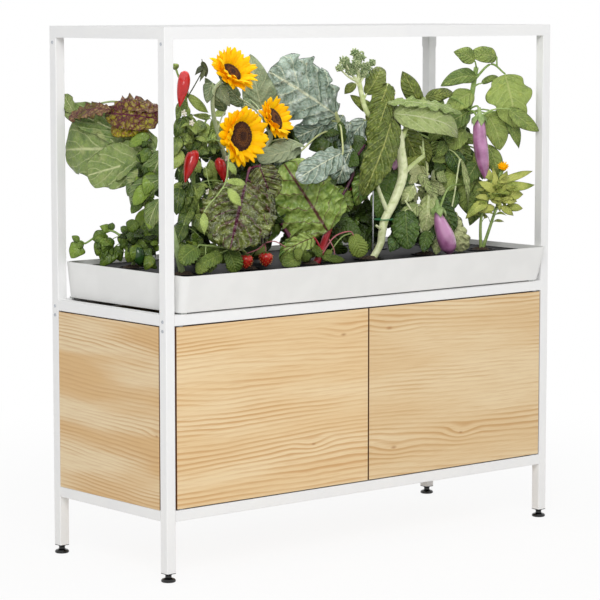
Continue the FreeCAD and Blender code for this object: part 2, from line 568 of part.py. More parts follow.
# Levelling feet: a threaded cap in each leg and a moulded foot on a stud.
caps = []
for corner, side, row in CORNERS:
    post_x = "%d * %s" % (side, POST_X)
    post_y = "%s + %d * %s" % (MIDDLE_Y, row, POST_Y)
    cap = body("cap_" + corner)
    flange = sketch(cap, "XY_Plane", "flange", "-sizes.cap_flange")
    rounded_rectangle(flange, "sizes.tube", "sizes.tube", "sizes.tube_corner")
    pad(cap, flange, "sizes.cap_flange", "flange_pad")
    plug = sketch(cap, "XY_Plane", "plug")
    rectangle(plug, PLUG, PLUG)
    pad(cap, plug, "sizes.cap_depth", "plug_pad")
    thread = sketch(cap, "XY_Plane", "thread", "sizes.cap_depth")
    circle(thread, "sizes.stud_radius + sizes.stud_play")
    pocket(cap, thread, "sizes.cap_depth + sizes.cap_flange", "thread_bore")
    caps.append(place(cap, post_x, post_y, "sizes.foot_height"))
    foot = body("foot_" + corner)
    neck_top = "sizes.foot_height - sizes.cap_flange - sizes.neck_gap"
    stud_top = neck_top + " + sizes.stud_length"
    turned(foot, (("0", "0"), ("sizes.pad_radius - 1", "0"), ("sizes.pad_radius", "1"),
                  ("sizes.pad_radius", "sizes.pad_edge"),
                  ("sizes.pad_radius * 0.86", "(sizes.pad_edge + sizes.pad_crown) / 2 + 0.4"),
                  ("sizes.neck_radius + 2", "sizes.pad_crown"),
                  ("sizes.neck_radius", "sizes.pad_crown + 1"),
                  ("sizes.neck_radius", neck_top + " - 2.4"), ("sizes.neck_top_radius", neck_top),
                  ("sizes.stud_radius", neck_top), ("sizes.stud_radius", stud_top),
                  ("0", stud_top)), "foot")
    keep("foot_" + corner, place(foot, post_x, post_y, "0"))
group("foot_caps", caps)

# Planting tray: a tapered tub with round corners on four small rests.
TRAY_WIDE = "(%s - 2 * sizes.tray_side_gap)" % INSIDE_WIDTH
TRAY_FRONT = "(%s - sizes.tray_overhang)" % FRONT_Y
TRAY_BACK = "(%s - sizes.tray_rear_gap)" % BACK_Y


def tray_outline(drawn, side_in, front_in, rear_in, corner):
    """Draw the tray's plan, drawn in from its rim by a distance on each side."""
    wide = "%s - 2 * (%s)" % (TRAY_WIDE, side_in)
    deep = "%s - %s - (%s) - (%s)" % (TRAY_BACK, TRAY_FRONT, front_in, rear_in)
    middle = "(%s + %s + (%s) - (%s)) / 2" % (TRAY_BACK, TRAY_FRONT, front_in, rear_in)
    rounded_rectangle(drawn, wide, deep, corner, "0", middle)


tray = body("grow_tray")
WALL = "sizes.tray_wall"
tray_foot = sketch(tray, "XY_Plane", "foot")
tray_outline(tray_foot, "sizes.tray_side_flare", "sizes.tray_front_flare", "sizes.tray_rear_flare",
             "sizes.tray_corner")
tray_rim = sketch(tray, "XY_Plane", "rim", "sizes.tray_height")
tray_outline(tray_rim, "0", "0", "0", "sizes.tray_corner")
tray_loft = tray.newObject("PartDesign::AdditiveLoft", "tub")
tray_loft.Profile = tray_foot
tray_loft.Sections = [tray_rim]
tray_loft.Ruled = True
inner_foot = sketch(tray, "XY_Plane", "inner_foot", "sizes.tray_wall")
tray_outline(inner_foot, "sizes.tray_side_flare + " + WALL, "sizes.tray_front_flare + " + WALL,
             "sizes.tray_rear_flare + " + WALL, "sizes.tray_corner - " + WALL)
inner_rim = sketch(tray, "XY_Plane", "inner_rim", "sizes.tray_height")
tray_outline(inner_rim, WALL, WALL, WALL, "sizes.tray_corner - " + WALL)
hollow_loft = tray.newObject("PartDesign::SubtractiveLoft", "hollow")
hollow_loft.Profile = inner_foot
hollow_loft.Sections = [inner_rim]
hollow_loft.Ruled = True
fitting_seats = sketch(tray, "XY_Plane", "fitting_seats", "sizes.tray_wall")
for side in (-1, 1):
    circle(fitting_seats, "sizes.fitting_thread_radius", "%d * sizes.pipe_spacing" % side, MIDDLE_Y)
pocket(tray, fitting_seats, "sizes.tray_wall", "fitting_holes")
keep("grow_tray", place(tray, "0", "0", TRAY_UNDER))

rests = []
for corner, side, row in CORNERS:
    rest_x = "%d * (%s / 2 - sizes.tray_side_flare - sizes.rest_inset - sizes.rest_size / 2)" % (
        side, TRAY_WIDE)
    rest_y = "%s + %d * %s" % (MIDDLE_Y, row, POST_Y)
    rests.append(box("rest_" + corner, "sizes.rest_size", "sizes.rest_size", "sizes.rest_height",
                     rest_x, rest_y, MID_RAIL_TOP))
group("tray_rests", rests)

# Three lids fill the tray, each with skirts at its ends and four holes for net cups.
LID_COUNT = 3
LID_LEVEL = "(sizes.lid_drop + %s)" % WALL
LID_SIDE_IN = "(%s + sizes.tray_side_flare * %s / sizes.tray_height + sizes.lid_play)" % (WALL, LID_LEVEL)
LID_FRONT_IN = "(%s + sizes.tray_front_flare * %s / sizes.tray_height + sizes.lid_play)" % (WALL, LID_LEVEL)
LID_REAR_IN = "(%s + sizes.tray_rear_flare * %s / sizes.tray_height + sizes.lid_play)" % (WALL, LID_LEVEL)
LID_SPAN = "(%s - 2 * %s)" % (TRAY_WIDE, LID_SIDE_IN)
LID_WIDE = "(%s / %d - sizes.lid_play)" % (LID_SPAN, LID_COUNT)
LID_DEEP = "(%s - %s - %s - %s)" % (TRAY_BACK, TRAY_FRONT, LID_FRONT_IN, LID_REAR_IN)
LID_Y = "((%s + %s + %s - %s) / 2)" % (TRAY_BACK, TRAY_FRONT, LID_FRONT_IN, LID_REAR_IN)
LID_UNDER = "(%s - sizes.lid_thickness)" % LID_TOP
SKIRT_HIGH = "(%s - %s)" % (LID_UNDER, TRAY_FLOOR)
lids = []
cups = []
for index in range(LID_COUNT):
    lid = body("lid%d" % index)
    lid_outline = sketch(lid, "XY_Plane", "outline")
    rounded_rectangle(lid_outline, LID_WIDE, LID_DEEP, "sizes.lid_corner")
    pad(lid, lid_outline, "sizes.lid_thickness")
    skirts = sketch(lid, "XY_Plane", "skirts", "-" + SKIRT_HIGH)
    for side in (-1, 1):
        skirt_x = "%d * (%s / 2 - sizes.lid_corner - sizes.lid_thickness)" % (side, LID_WIDE)
        rounded_rectangle(skirts, "sizes.lid_thickness", "sizes.lid_leg", "sizes.lid_thickness / 4",
                          skirt_x)
    pad(lid, skirts, SKIRT_HIGH, "skirt_pads")
    cup_holes = sketch(lid, "XY_Plane", "cup_holes", "sizes.lid_thickness")
    for side in (-1, 1):
        for row in (-1, 1):
            circle(cup_holes, "sizes.cup_radius + sizes.cup_play", "%d * sizes.cup_pitch_x / 2" % side,
                   "%d * sizes.cup_pitch_y / 2" % row)
    pocket(lid, cup_holes, "sizes.lid_thickness", "cup_hole_cut")
    lid_x = "%d * (%s + sizes.lid_play)" % (index - 1, LID_WIDE)
    lids.append(place(lid, lid_x, LID_Y, LID_UNDER))
group("tray_lids", lids)


def cup_position(column, row):
    """Give the expressions for the middle of one net cup."""
    lid_index = column // 2
    side = 2 * (column % 2) - 1
    across = "%d * (%s + sizes.lid_play) + %d * sizes.cup_pitch_x / 2" % (lid_index - 1, LID_WIDE, side)
    return across, "%s + %d * sizes.cup_pitch_y / 2" % (LID_Y, row)


for column in range(2 * LID_COUNT):
    for row in (-1, 1):
        cup = body("cup_%d_%s" % (column, "front" if row < 0 else "rear"))
        wall = "sizes.cup_wall"
        turned(cup, (("0", "-sizes.cup_depth"), ("sizes.cup_foot_radius", "-sizes.cup_depth"),
                     ("sizes.cup_radius", "0"), ("sizes.cup_radius + sizes.cup_rim", "0"),
                     ("sizes.cup_radius + sizes.cup_rim", "sizes.cup_rim_height"),
                     ("sizes.cup_radius - " + wall, "sizes.cup_rim_height"),
                     ("sizes.cup_foot_radius - " + wall, "-sizes.cup_depth + " + wall),
                     ("0", "-sizes.cup_depth + " + wall)), "cup")
        cup_x, cup_y = cup_position(column, row)
        cups.append(place(cup, cup_x, cup_y, LID_TOP))
group("net_cups", cups)

# Water: a tank with a fitted lid and a filling flap, a pump, two pipes and two tray fittings.
FLOOR_TOP = BOTTOM_RAIL_TOP
TANK_TOP = "(%s + sizes.tank_height)" % FLOOR_TOP
tank = body("reservoir_tank")


def tank_section(name, lift, inset, radius):
    drawn = sketch(tank, "XY_Plane", name, lift)
    rounded_rectangle(drawn, "sizes.tank_width - 2 * (%s)" % inset,
                      "sizes.tank_depth - 2 * (%s)" % inset, radius)
    return drawn


tank_loft = tank.newObject("PartDesign::AdditiveLoft", "tub")
tank_loft.Profile = tank_section("foot", "0", "sizes.tank_draft", "sizes.tank_corner")
tank_loft.Sections = [tank_section("top", "sizes.tank_height", "sizes.tank_rim", "sizes.tank_corner")]
tank_loft.Ruled = True
rim = tank_section("rim", "sizes.tank_height - sizes.tank_wall", "0", "sizes.tank_corner")
pad(tank, rim, "sizes.tank_wall", "rim_pad")
tank_hollow = tank.newObject("PartDesign::SubtractiveLoft", "hollow")
tank_hollow.Profile = tank_section("inner_foot", "sizes.tank_wall", "sizes.tank_draft + sizes.tank_wall",
                                   "sizes.tank_corner - sizes.tank_wall")
tank_hollow.Sections = [tank_section("inner_top", "sizes.tank_height", "sizes.tank_rim + sizes.tank_wall",
                                     "sizes.tank_corner - sizes.tank_wall")]
tank_hollow.Ruled = True
keep("reservoir_tank", place(tank, "0", MIDDLE_Y, FLOOR_TOP))

tank_lid = body("reservoir_lid")
lid_plate = sketch(tank_lid, "XY_Plane", "plate")
rounded_rectangle(lid_plate, "sizes.tank_width", "sizes.tank_depth", "sizes.tank_corner")
pad(tank_lid, lid_plate, "sizes.tank_lid")
ears = sketch(tank_lid, "XY_Plane", "ears", "sizes.tank_lid")
EAR_HIGH = "(sizes.flap_thickness + 2 * sizes.flap_pin_radius)"
FLAP_HINGE_Y = "(sizes.flap_depth / 2)"
for side in (-1, 1):
    rounded_rectangle(ears, "sizes.flap_ear", "3 * sizes.flap_ear", "sizes.flap_ear / 4",
                      "%d * (sizes.flap_width / 2 + sizes.flap_ear / 2 + sizes.flap_play)" % side,
                      FLAP_HINGE_Y)
pad(tank_lid, ears, EAR_HIGH, "ear_pads")
mouths = sketch(tank_lid, "XY_Plane", "mouths", "sizes.tank_lid")
rounded_rectangle(mouths, "sizes.flap_width - 4 * sizes.flap_ear", "sizes.flap_depth - 5 * sizes.flap_ear",
                  "2 * sizes.flap_ear", "0", "-sizes.flap_ear / 2")
for side in (-1, 1):
    circle(mouths, "sizes.pipe_radius + 4 * sizes.pipe_play", "%d * sizes.pipe_spacing" % side)
pocket(tank_lid, mouths, "sizes.tank_lid", "mouth_cut")
hinge_z = "sizes.tank_lid + sizes.flap_thickness / 2 + sizes.touch_gap"
hinge_bore = sketch(tank_lid, "YZ_Plane", "hinge_bore")
circle(hinge_bore, "sizes.flap_pin_radius + sizes.pivot_play", FLAP_HINGE_Y, hinge_z)
hinge_cut = pocket(tank_lid, hinge_bore, "sizes.flap_width + 4 * sizes.flap_ear", "hinge_bore_cut")
hinge_cut.Midplane = True
inner_skirt = sketch(tank_lid, "XY_Plane", "locating_rib", "-sizes.tank_lid_skirt")
LOCATE_IN = "sizes.tank_rim + sizes.tank_wall + sizes.flap_play"
rounded_rectangle(inner_skirt, "sizes.tank_width - 2 * (%s)" % LOCATE_IN,
                  "sizes.tank_depth - 2 * (%s)" % LOCATE_IN, "sizes.tank_corner - sizes.tank_wall")
rounded_rectangle(inner_skirt, "sizes.tank_width - 2 * (%s + sizes.tank_lid)" % LOCATE_IN,
                  "sizes.tank_depth - 2 * (%s + sizes.tank_lid)" % LOCATE_IN,
                  "sizes.tank_corner - sizes.tank_wall - sizes.tank_lid")
pad(tank_lid, inner_skirt, "sizes.tank_lid_skirt", "locating_rib_pad")
keep("reservoir_lid", place(tank_lid, "0", MIDDLE_Y, TANK_TOP))

flap = body("fill_flap")
flap_plate = sketch(flap, "XY_Plane", "plate")
rounded_rectangle(flap_plate, "sizes.flap_width - sizes.flap_play", "sizes.flap_depth", "sizes.flap_ear",
                  "0", "-sizes.flap_depth / 2")
pad(flap, flap_plate, "sizes.flap_thickness", midplane=True)
flap_pin = sketch(flap, "YZ_Plane", "pin")
circle(flap_pin, "sizes.flap_pin_radius")
pad(flap, flap_pin, "sizes.flap_width + 2 * sizes.flap_ear + 2 * sizes.flap_play", "pin_pad", midplane=True)
finger = sketch(flap, "XY_Plane", "finger_lip", "-sizes.flap_thickness / 2")
rounded_rectangle(finger, "sizes.flap_width / 3", "sizes.flap_ear * 2", "sizes.flap_ear / 2",
                  "0", "-sizes.flap_depth - sizes.flap_ear / 2")
pad(flap, finger, "sizes.flap_thickness", "finger_pad")
flap_z = "%s + %s" % (TANK_TOP, hinge_z)
keep("fill_flap", place(flap, "0", "%s + %s" % (MIDDLE_Y, FLAP_HINGE_Y), flap_z))

pump = body("pump")
pump_foot = sketch(pump, "XY_Plane", "foot")
rounded_rectangle(pump_foot, "sizes.pump_width", "sizes.pump_depth", "sizes.pump_corner")
pad(pump, pump_foot, "sizes.pump_height")
outlet = sketch(pump, "XY_Plane", "outlet", "sizes.pump_height")
circle(outlet, "sizes.pipe_radius - sizes.pipe_wall - sizes.pipe_play")
pad(pump, outlet, "sizes.pump_outlet", "outlet_pad")
intake = sketch(pump, "XZ_Plane", "intake", "sizes.pump_depth / 2")
for slot in range(4):
    slot_z = "sizes.pump_height / 5 * %d" % (slot + 1)
    rounded_rectangle(intake, "sizes.pump_width * 0.7", "sizes.pump_height / 16", "sizes.pump_height / 40",
                      "0", slot_z)
pocket(pump, intake, "sizes.pump_height / 16", "intake_slots")
PUMP_Z = "(%s + sizes.tank_wall)" % FLOOR_TOP
keep("pump", place(pump, "-sizes.pipe_spacing", MIDDLE_Y, PUMP_Z))

fittings = []
pipes = []
NUT_UNDER = "(%s - sizes.fitting_nut)" % TRAY_UNDER
barb = "sizes.pipe_radius - sizes.pipe_wall - sizes.pipe_play"
bore = "sizes.pipe_radius - 2 * sizes.pipe_wall"
for name, side, head in (("inlet", -1, "sizes.fitting_flange"),
                         ("drain", 1, "sizes.standpipe_height")):
    fitting = body(name + "_fitting")
    flange_top = "sizes.tray_wall + sizes.fitting_flange"
    barb_end = "-sizes.fitting_nut - sizes.barb_length"
    thread = "sizes.fitting_thread_radius - sizes.pipe_play"
    profile = [(bore, barb_end), (barb, barb_end), (barb, "-sizes.fitting_nut"),
               ("sizes.fitting_nut_radius", "-sizes.fitting_nut"), ("sizes.fitting_nut_radius", "0"),
               (thread, "0"), (thread, "sizes.tray_wall"),
               ("sizes.fitting_flange_radius", "sizes.tray_wall"),
               ("sizes.fitting_flange_radius", flange_top),
               ("sizes.pipe_radius", flange_top), ("sizes.pipe_radius", "sizes.tray_wall + %s + 1" % head),
               (bore, "sizes.tray_wall + %s + 1" % head)]
    turned(fitting, profile, "fitting")
    pipe_x = "%d * sizes.pipe_spacing" % side
    fittings.append(place(fitting, pipe_x, MIDDLE_Y, TRAY_UNDER))
    pipe = body(name + "_pipe")
    ring = sketch(pipe, "XY_Plane", "ring")
    circle(ring, "sizes.pipe_radius")
    circle(ring, "sizes.pipe_radius - sizes.pipe_wall")
    if name == "inlet":
        pipe_under = "(%s + sizes.pump_height)" % PUMP_Z
    else:
        pipe_under = "(%s - 2 * sizes.tank_lid_skirt)" % TANK_TOP
    pad(pipe, ring, "%s - %s" % (NUT_UNDER, pipe_under))
    pipes.append(place(pipe, pipe_x, MIDDLE_Y, pipe_under))
group("tray_fittings", fittings)
group("water_pipes", pipes)

# Lamp and pump controls in a closed box on the right side panel, and the power lead's gland.
control = body("control_box")
control_face = sketch(control, "YZ_Plane", "face")
rounded_rectangle(control_face, "sizes.control_width", "sizes.control_height", "sizes.control_corner")
pad(control, control_face, "sizes.control_depth", midplane=True)
control_x = "sizes.frame_width / 2 - sizes.wood - sizes.control_depth / 2"
keep("control_box", place(control, control_x, "%s + sizes.control_width / 3" % MIDDLE_Y,
                          "%s + sizes.cabinet_opening / 2" % BOTTOM_RAIL_TOP))
gland = body("cable_gland")
turned(gland, (("sizes.gland_bore", "0"), ("sizes.gland_flange_radius - 1", "0"),
               ("sizes.gland_flange_radius", "1"), ("sizes.gland_flange_radius", "sizes.gland_flange"),
               ("sizes.gland_radius - sizes.gland_play", "sizes.gland_flange"),
               ("sizes.gland_radius - sizes.gland_play", "sizes.gland_flange + sizes.wood"),
               ("sizes.gland_bore", "sizes.gland_flange + sizes.wood")), "gland")
gland.Placement = Placement(Vector(0, 0, 0), Rotation(Vector(1, 0, 0), 90))
gland_y = "%s - sizes.back_recess + sizes.gland_flange" % BACK_Y
keep("cable_gland", place(gland, "sizes.gland_offset", gland_y, "%s + sizes.gland_height" % BOTTOM_RAIL_TOP))

# Plants. Each stands in a plug of soil in its net cup. Limbs are tapered bars, blades are arched
# strips trimmed to a pointed outline, and a stalk joins each blade and fruit to the nearest bend
# of its stem. Places are in millimetres in the garden's own frame.
SUNWARD = Vector(-0.63, -0.75, 0.2)
UPWARD = Vector(-0.2, -0.3, 0.9)
STALK_REACH = 0.2
plant_sizes = []


def size(alias, value):
    """Write one plant size into the sheet's second column and give its name."""
    plant_sizes.append(alias)
    sizes.set("B%d" % len(plant_sizes), str(value))
    sizes.setAlias("B%d" % len(plant_sizes), alias)
    return "sizes." + alias


def extrude(name, drawn, length, symmetric=False):
    made = doc.addObject("Part::Extrusion", name)
    made.Base = drawn
    made.DirMode = "Normal"
    made.Symmetric = symmetric
    made.setExpression("LengthFwd", length)
    made.Solid = True
    return made


def arc_over(drawn, length, height):
    """Draw an arc from the far end of a chord on the sketch's axis back to the origin."""
    crest = Vector(length / 2, height, 0)
    return drawn.addGeometry(Part.Arc(Vector(length, 0, 0), crest, Vector(0, 0, 0)), False)


def blade(name, base, tip, wide, rise, facing=SUNWARD):
    """Make one leaf between two points, wide across its middle and arched by its rise."""
    length = round((tip - base).Length, 1)
    long_name = size(name + "_length", length)
    wide_name = size(name + "_wide", wide)
    rise_name = size(name + "_rise", rise)
    outline = doc.addObject("Sketcher::SketchObject", name + "_outline")
    near = arc_over(outline, length, wide / 2)
    far = outline.addGeometry(
        Part.Arc(Vector(0, 0, 0), Vector(length / 2, -wide / 2, 0), Vector(length, 0, 0)), False)
    outline.addConstraint(Sketcher.Constraint("Coincident", near, 2, -1, 1))
    outline.addConstraint(Sketcher.Constraint("PointOnObject", near, 1, -1))
    outline.addConstraint(Sketcher.Constraint("Coincident", far, 1, near, 2))
    outline.addConstraint(Sketcher.Constraint("Coincident", far, 2, near, 1))
    outline.addConstraint(Sketcher.Constraint("Equal", near, far))
    bend = "(%s ^ 2 / 4 + %s ^ 2 / 4) / %s" % (long_name, wide_name, wide_name)
    bind(outline, Sketcher.Constraint("DistanceX", -1, 1, near, 1, length), "reach", long_name)
    bind(outline, Sketcher.Constraint("Radius", near, (length ** 2 + wide ** 2) / 4 / wide), "bend", bend)
    outline.Placement = Placement(Vector(0, 0, -1), Rotation())
    trim = extrude(name + "_trim", outline, "%s + sizes.leaf_thickness + 2" % rise_name)
    profile = doc.addObject("Sketcher::SketchObject", name + "_profile")
    thick = number("sizes.leaf_thickness")
    under = arc_over(profile, length, rise)
    over = profile.addGeometry(Part.Arc(Vector(length, thick, 0), Vector(length / 2, rise + thick, 0),
                                        Vector(0, thick, 0)), False)
    tip_end = profile.addGeometry(Part.LineSegment(Vector(length, 0, 0), Vector(length, thick, 0)), False)
    base_end = profile.addGeometry(Part.LineSegment(Vector(0, thick, 0), Vector(0, 0, 0)), False)
    profile.addConstraint(Sketcher.Constraint("Coincident", under, 2, -1, 1))
    profile.addConstraint(Sketcher.Constraint("PointOnObject", under, 1, -1))
    profile.addConstraint(Sketcher.Constraint("Coincident", tip_end, 1, under, 1))
    profile.addConstraint(Sketcher.Constraint("Coincident", tip_end, 2, over, 1))
    profile.addConstraint(Sketcher.Constraint("Coincident", base_end, 1, over, 2))
    profile.addConstraint(Sketcher.Constraint("Coincident", base_end, 2, under, 2))
    profile.addConstraint(Sketcher.Constraint("Vertical", tip_end))
    profile.addConstraint(Sketcher.Constraint("Vertical", base_end))
    profile.addConstraint(Sketcher.Constraint("Equal", under, over))
    arch = "(%s ^ 2 / 4 + %s ^ 2) / (2 * %s)" % (long_name, rise_name, rise_name)
    bind(profile, Sketcher.Constraint("DistanceX", -1, 1, under, 1, length), "reach", long_name)
    bind(profile, Sketcher.Constraint("DistanceY", tip_end, 1, tip_end, 2, thick), "thick",
         "sizes.leaf_thickness")
    bind(profile, Sketcher.Constraint("Radius", under, (length ** 2 / 4 + rise ** 2) / 2 / rise),
         "arch", arch)
    profile.Placement = Placement(Vector(0, 0, 0), Rotation(Vector(1, 0, 0), 90))
    strip = extrude(name + "_strip", profile, "%s + 2" % wide_name, symmetric=True)
    leaf = doc.addObject("Part::Common", name)
    leaf.Base = strip
    leaf.Tool = trim
    leaf.Placement = Placement(base, Rotation(tip - base, Vector(0, 1, 0), facing, "XZY"))
    return leaf


def limb(name, start, end, start_radius, end_radius):
    """Make one tapered bar from point to point."""
    bar = doc.addObject("Part::Cone", name)
    bar.setExpression("Radius1", size(name + "_start_radius", start_radius))
    bar.setExpression("Radius2", size(name + "_end_radius", end_radius))
    bar.setExpression("Height", size(name + "_length", round((end - start).Length, 1)))
    bar.Placement = Placement(start, Rotation(Vector(0, 0, 1), end - start))
    return bar


def stalk(name, start, end):
    bar = doc.addObject("Part::Cylinder", name)
    bar.setExpression("Radius", "sizes.stalk_radius")
    bar.setExpression("Height", size(name + "_length", round((end - start).Length, 1)))
    bar.Placement = Placement(start, Rotation(Vector(0, 0, 1), end - start))
    return bar


def ball(name, middle, radius):
    made = doc.addObject("Part::Sphere", name)
    made.setExpression("Radius", size(name + "_radius", radius))
    made.Placement = Placement(middle, Rotation())
    return made


def soil_plug(name, column, row):
    """Make the soil in one net cup, clear of the cup's wall all round."""
    soil = doc.addObject("Part::Cone", name + "_soil")
    soil.setExpression("Radius1", "sizes.soil_foot_radius")
    soil.setExpression("Radius2", "sizes.soil_top_radius")
    soil.setExpression("Height", "sizes.soil_height")
    soil_x, soil_y = cup_position(column, row)
    return place(soil, soil_x, soil_y,
                 "%s - sizes.cup_depth + sizes.cup_wall + sizes.soil_gap" % LID_TOP)


def plant(name, cup, stems, leaves=(), fruits=(), balls=(), heads=()):
    """Join soil, stems, leaves, fruit, tufts and flower heads into one plant."""
    parts = []
    if cup is not None:
        parts.append(soil_plug(name, *cup))
    bends = []
    for stem_index, (radius, taper, points) in enumerate(stems):
        points = [Vector(*point) for point in points]
        for index in range(len(points) - 1):
            parts.append(limb("%s_stem%d_%d" % (name, stem_index, index), points[index],
                              points[index + 1], radius, radius * taper))
            radius = radius * taper
        bends.extend(points[1:])

    def hang(label, point):
        nearest = min(bends, key=lambda bend: (bend - point).Length)
        if (point - nearest).Length > 2:
            parts.append(stalk(label, nearest, point))

    for index, (base, tip, wide, rise, *facing) in enumerate(leaves):
        base = Vector(*base)
        tip = Vector(*tip)
        leaf = blade("%s_leaf%d" % (name, index), base, tip, wide, rise, *facing)
        parts.append(leaf)
        arched = 4 * STALK_REACH * (1 - STALK_REACH) * rise + number("sizes.leaf_thickness") / 2
        joint = Vector((tip - base).Length * STALK_REACH, 0, arched)
        hang("%s_leaf_stalk%d" % (name, index), leaf.Placement.multVec(joint))
    for index, (top, bottom, top_radius, bottom_radius) in enumerate(fruits):
        top = Vector(*top)
        bottom = Vector(*bottom)
        parts.append(limb("%s_fruit%d" % (name, index), top, bottom, top_radius, bottom_radius))
        parts.append(ball("%s_fruit_end%d" % (name, index), bottom, bottom_radius))
        hang("%s_fruit_stalk%d" % (name, index), top)
    for index, (middle, radius) in enumerate(balls):
        middle = Vector(*middle)
        parts.append(ball("%s_tuft%d" % (name, index), middle, radius))
        hang("%s_tuft_stalk%d" % (name, index), middle)
    for index, (back, front, radius) in enumerate(heads):
        back = Vector(*back)
        parts.append(limb("%s_head%d" % (name, index), back, Vector(*front), radius * 0.7, radius))
        hang("%s_head_stalk%d" % (name, index), back)
    made = fuse(name, *parts)
    made.Refine = False
    return made


FRONT_ROW = -1
REAR_ROW = 1
keep("collard_plant", plant(
    "collard", (0, FRONT_ROW),
    [(6, 0.9, [(-357, -77, 505), (-385, -60, 650), (-375, -22, 727)]),
     (4, 0.9, [(-385, -60, 650), (-370, -32, 790)])],
    [((-375, -20, 730), (-420, 160, 750), 145, 5), ((-370, -10, 715), (-422, 100, 680), 80, 4),
     ((-370, -30, 790), (-422, 160, 775), 50, 38, UPWARD), ((-390, -60, 730), (-385, 0, 650), 50, 7),
     ((-395, -70, 685), (-405, 20, 620), 35, 7), ((-410, -80, 650), (-410, -50, 595), 25, 6)]))
keep("pepper_plant", plant(
    "pepper", (0, REAR_ROW),
    [(4, 0.85, [(-357, 72, 505), (-352, 66, 560), (-345, 58, 602)]),
     (2.4, 0.85, [(-353, 67, 548), (-382, 102, 582), (-412, 138, 558)])],
    [((-416, 140, 560), (-424, 152, 532), 22, 5), ((-390, 105, 585), (-400, 120, 520), 25, 6),
     ((-385, 105, 580), (-365, 100, 525), 25, 6), ((-380, 100, 585), (-405, 115, 590), 15, 4),
     ((-375, 95, 570), (-355, 90, 545), 20, 4), ((-340, 45, 625), (-365, 60, 565), 35, 7),
     ((-335, 40, 610), (-345, 20, 550), 35, 7), ((-345, 60, 600), (-370, 65, 530), 35, 7)],
    fruits=[((-386, 17, 560), (-384, 14, 537), 9, 11)]))
keep("chili_plant", plant(
    "chili", (1, REAR_ROW),
    [(5, 0.85, [(-214, 72, 505), (-235, 52, 600), (-240, 45, 690), (-250, 42, 765), (-262, 38, 815)]),
     (2.6, 0.85, [(-240, 45, 690), (-205, 56, 768)])],
    [((-265, 40, 810), (-290, 30, 770), 20, 6), ((-260, 40, 820), (-220, 30, 790), 15, 6),
     ((-260, 45, 790), (-265, 30, 755), 20, 6), ((-185, 60, 775), (-230, 60, 785), 15, 4),
     ((-210, 55, 765), (-260, 40, 740), 25, 6), ((-195, 55, 770), (-215, 50, 720), 25, 6),
     ((-255, 40, 735), (-300, 20, 710), 25, 6), ((-225, 40, 720), (-260, 30, 695), 15, 4),
     ((-210, 45, 705), (-190, 50, 655), 20, 6), ((-260, 30, 610), (-320, -10, 560), 30, 7),
     ((-285, 30, 670), (-285, 10, 625), 20, 6), ((-235, 20, 630), (-250, 5, 585), 15, 4)],
    fruits=[((-274, 25, 853), (-289, 20, 819), 11, 5), ((-275, 5, 716), (-297, 0, 681), 11, 4),
            ((-207, 25, 705), (-201, 22, 690), 10, 6)]))
keep("sunflower_plant", plant(
    "sunflower", (2, REAR_ROW),
    [(7, 0.9, [(-71, 72, 505), (-110, 62, 600), (-166, 40, 693), (-212, 20, 779), (-222, 6, 822)]),
     (5, 0.9, [(-110, 62, 600), (-110, 30, 700), (-150, 0, 742)]),
     (4.5, 0.9, [(-110, 30, 700), (-84, 18, 736), (-100, 10, 762)])],
    [((-60, 70, 795), (-75, 90, 885), 55, 9), ((-130, 40, 815), (-175, 35, 840), 20, 4),
     ((-90, 60, 700), (-5, 60, 715), 30, 6)],
    heads=[((-205, -4, 848), (-190, -4, 866), 48), ((-190, -42, 746), (-199, -56, 750), 50),
           ((-103, 4, 770), (-88, -2, 780), 40)]))
chard_dark = plant(
    "dark_chard", (2, FRONT_ROW),
    [(4, 0.9, [(-71, -77, 505), (-130, -84, 600), (-212, -96, 700), (-235, -99, 690)])],
    [((-235, -100, 685), (-325, -140, 580), 80, 11), ((-230, -100, 685), (-245, -135, 575), 80, 11)])
chard_green = plant(
    "green_chard", (3, REAR_ROW),
    [(8, 0.9, [(71, 72, 505), (75, 45, 560), (82, 20, 603)])],
    [((80, 20, 605), (-85, -20, 680), 85, 11), ((75, 15, 600), (-130, -50, 565), 90, 11),
     ((100, 26, 612), (184, 24, 700), 38, 6)])
group("chard_plants", [chard_dark, chard_green])
berry_left = plant(
    "left_strawberry", (1, FRONT_ROW),
    [(3, 0.8, [(-214, -77, 505), (-228, -86, 548), (-282, -98, 556), (-338, -99, 568)])],
    [((-345, -100, 565), (-390, -110, 540), 35, 6), ((-285, -100, 550), (-355, -110, 535), 30, 6),
     ((-285, -100, 555), (-275, -120, 520), 35, 6)],
    balls=[((-249, -115, 536), 11)])
berry_right = plant(
    "right_strawberry", None,
    [(5, 0.6, [(-36, -77, 516.3), (-36, -77, 532), (-6, -88, 560), (12, -94, 566)]),
     (2, 0.9, [(-36, -77, 525), (-140, -98, 566)]),
     (1.5, 0.9, [(-136, -97.2, 564.4), (-194, -110, 561)])],
    [((15, -95, 565), (25, -110, 525), 35, 6)],
    balls=[((-204, -115, 537), 12)])
group("strawberry_plants", [berry_left, berry_right])
keep("broccoli_plant", plant(
    "broccoli", (3, FRONT_ROW),
    [(7, 1.04, [(71, -77, 505), (108, -78, 555), (112, -78, 590), (137, -78, 637), (152, -74, 686),
                (158, -62, 731), (128, -45, 762)]),
     (5.5, 0.9, [(128, -45, 762), (102, -35, 775), (90, -26, 843)]),
     (5, 0.9, [(150, -74, 676), (209, -70, 697)])],
    [((100, -30, 820), (135, -20, 860), 30, 6), ((145, -40, 830), (110, -35, 765), 40, 7),
     ((215, -60, 800), (180, -50, 855), 35, 6), ((145, -70, 775), (305, -85, 745), 45, 18),
     ((125, -80, 700), (75, -90, 645), 20, 6)],
    balls=[((81, -20, 866), 20), ((54, -25, 874), 14), ((107, -15, 866), 14)]))
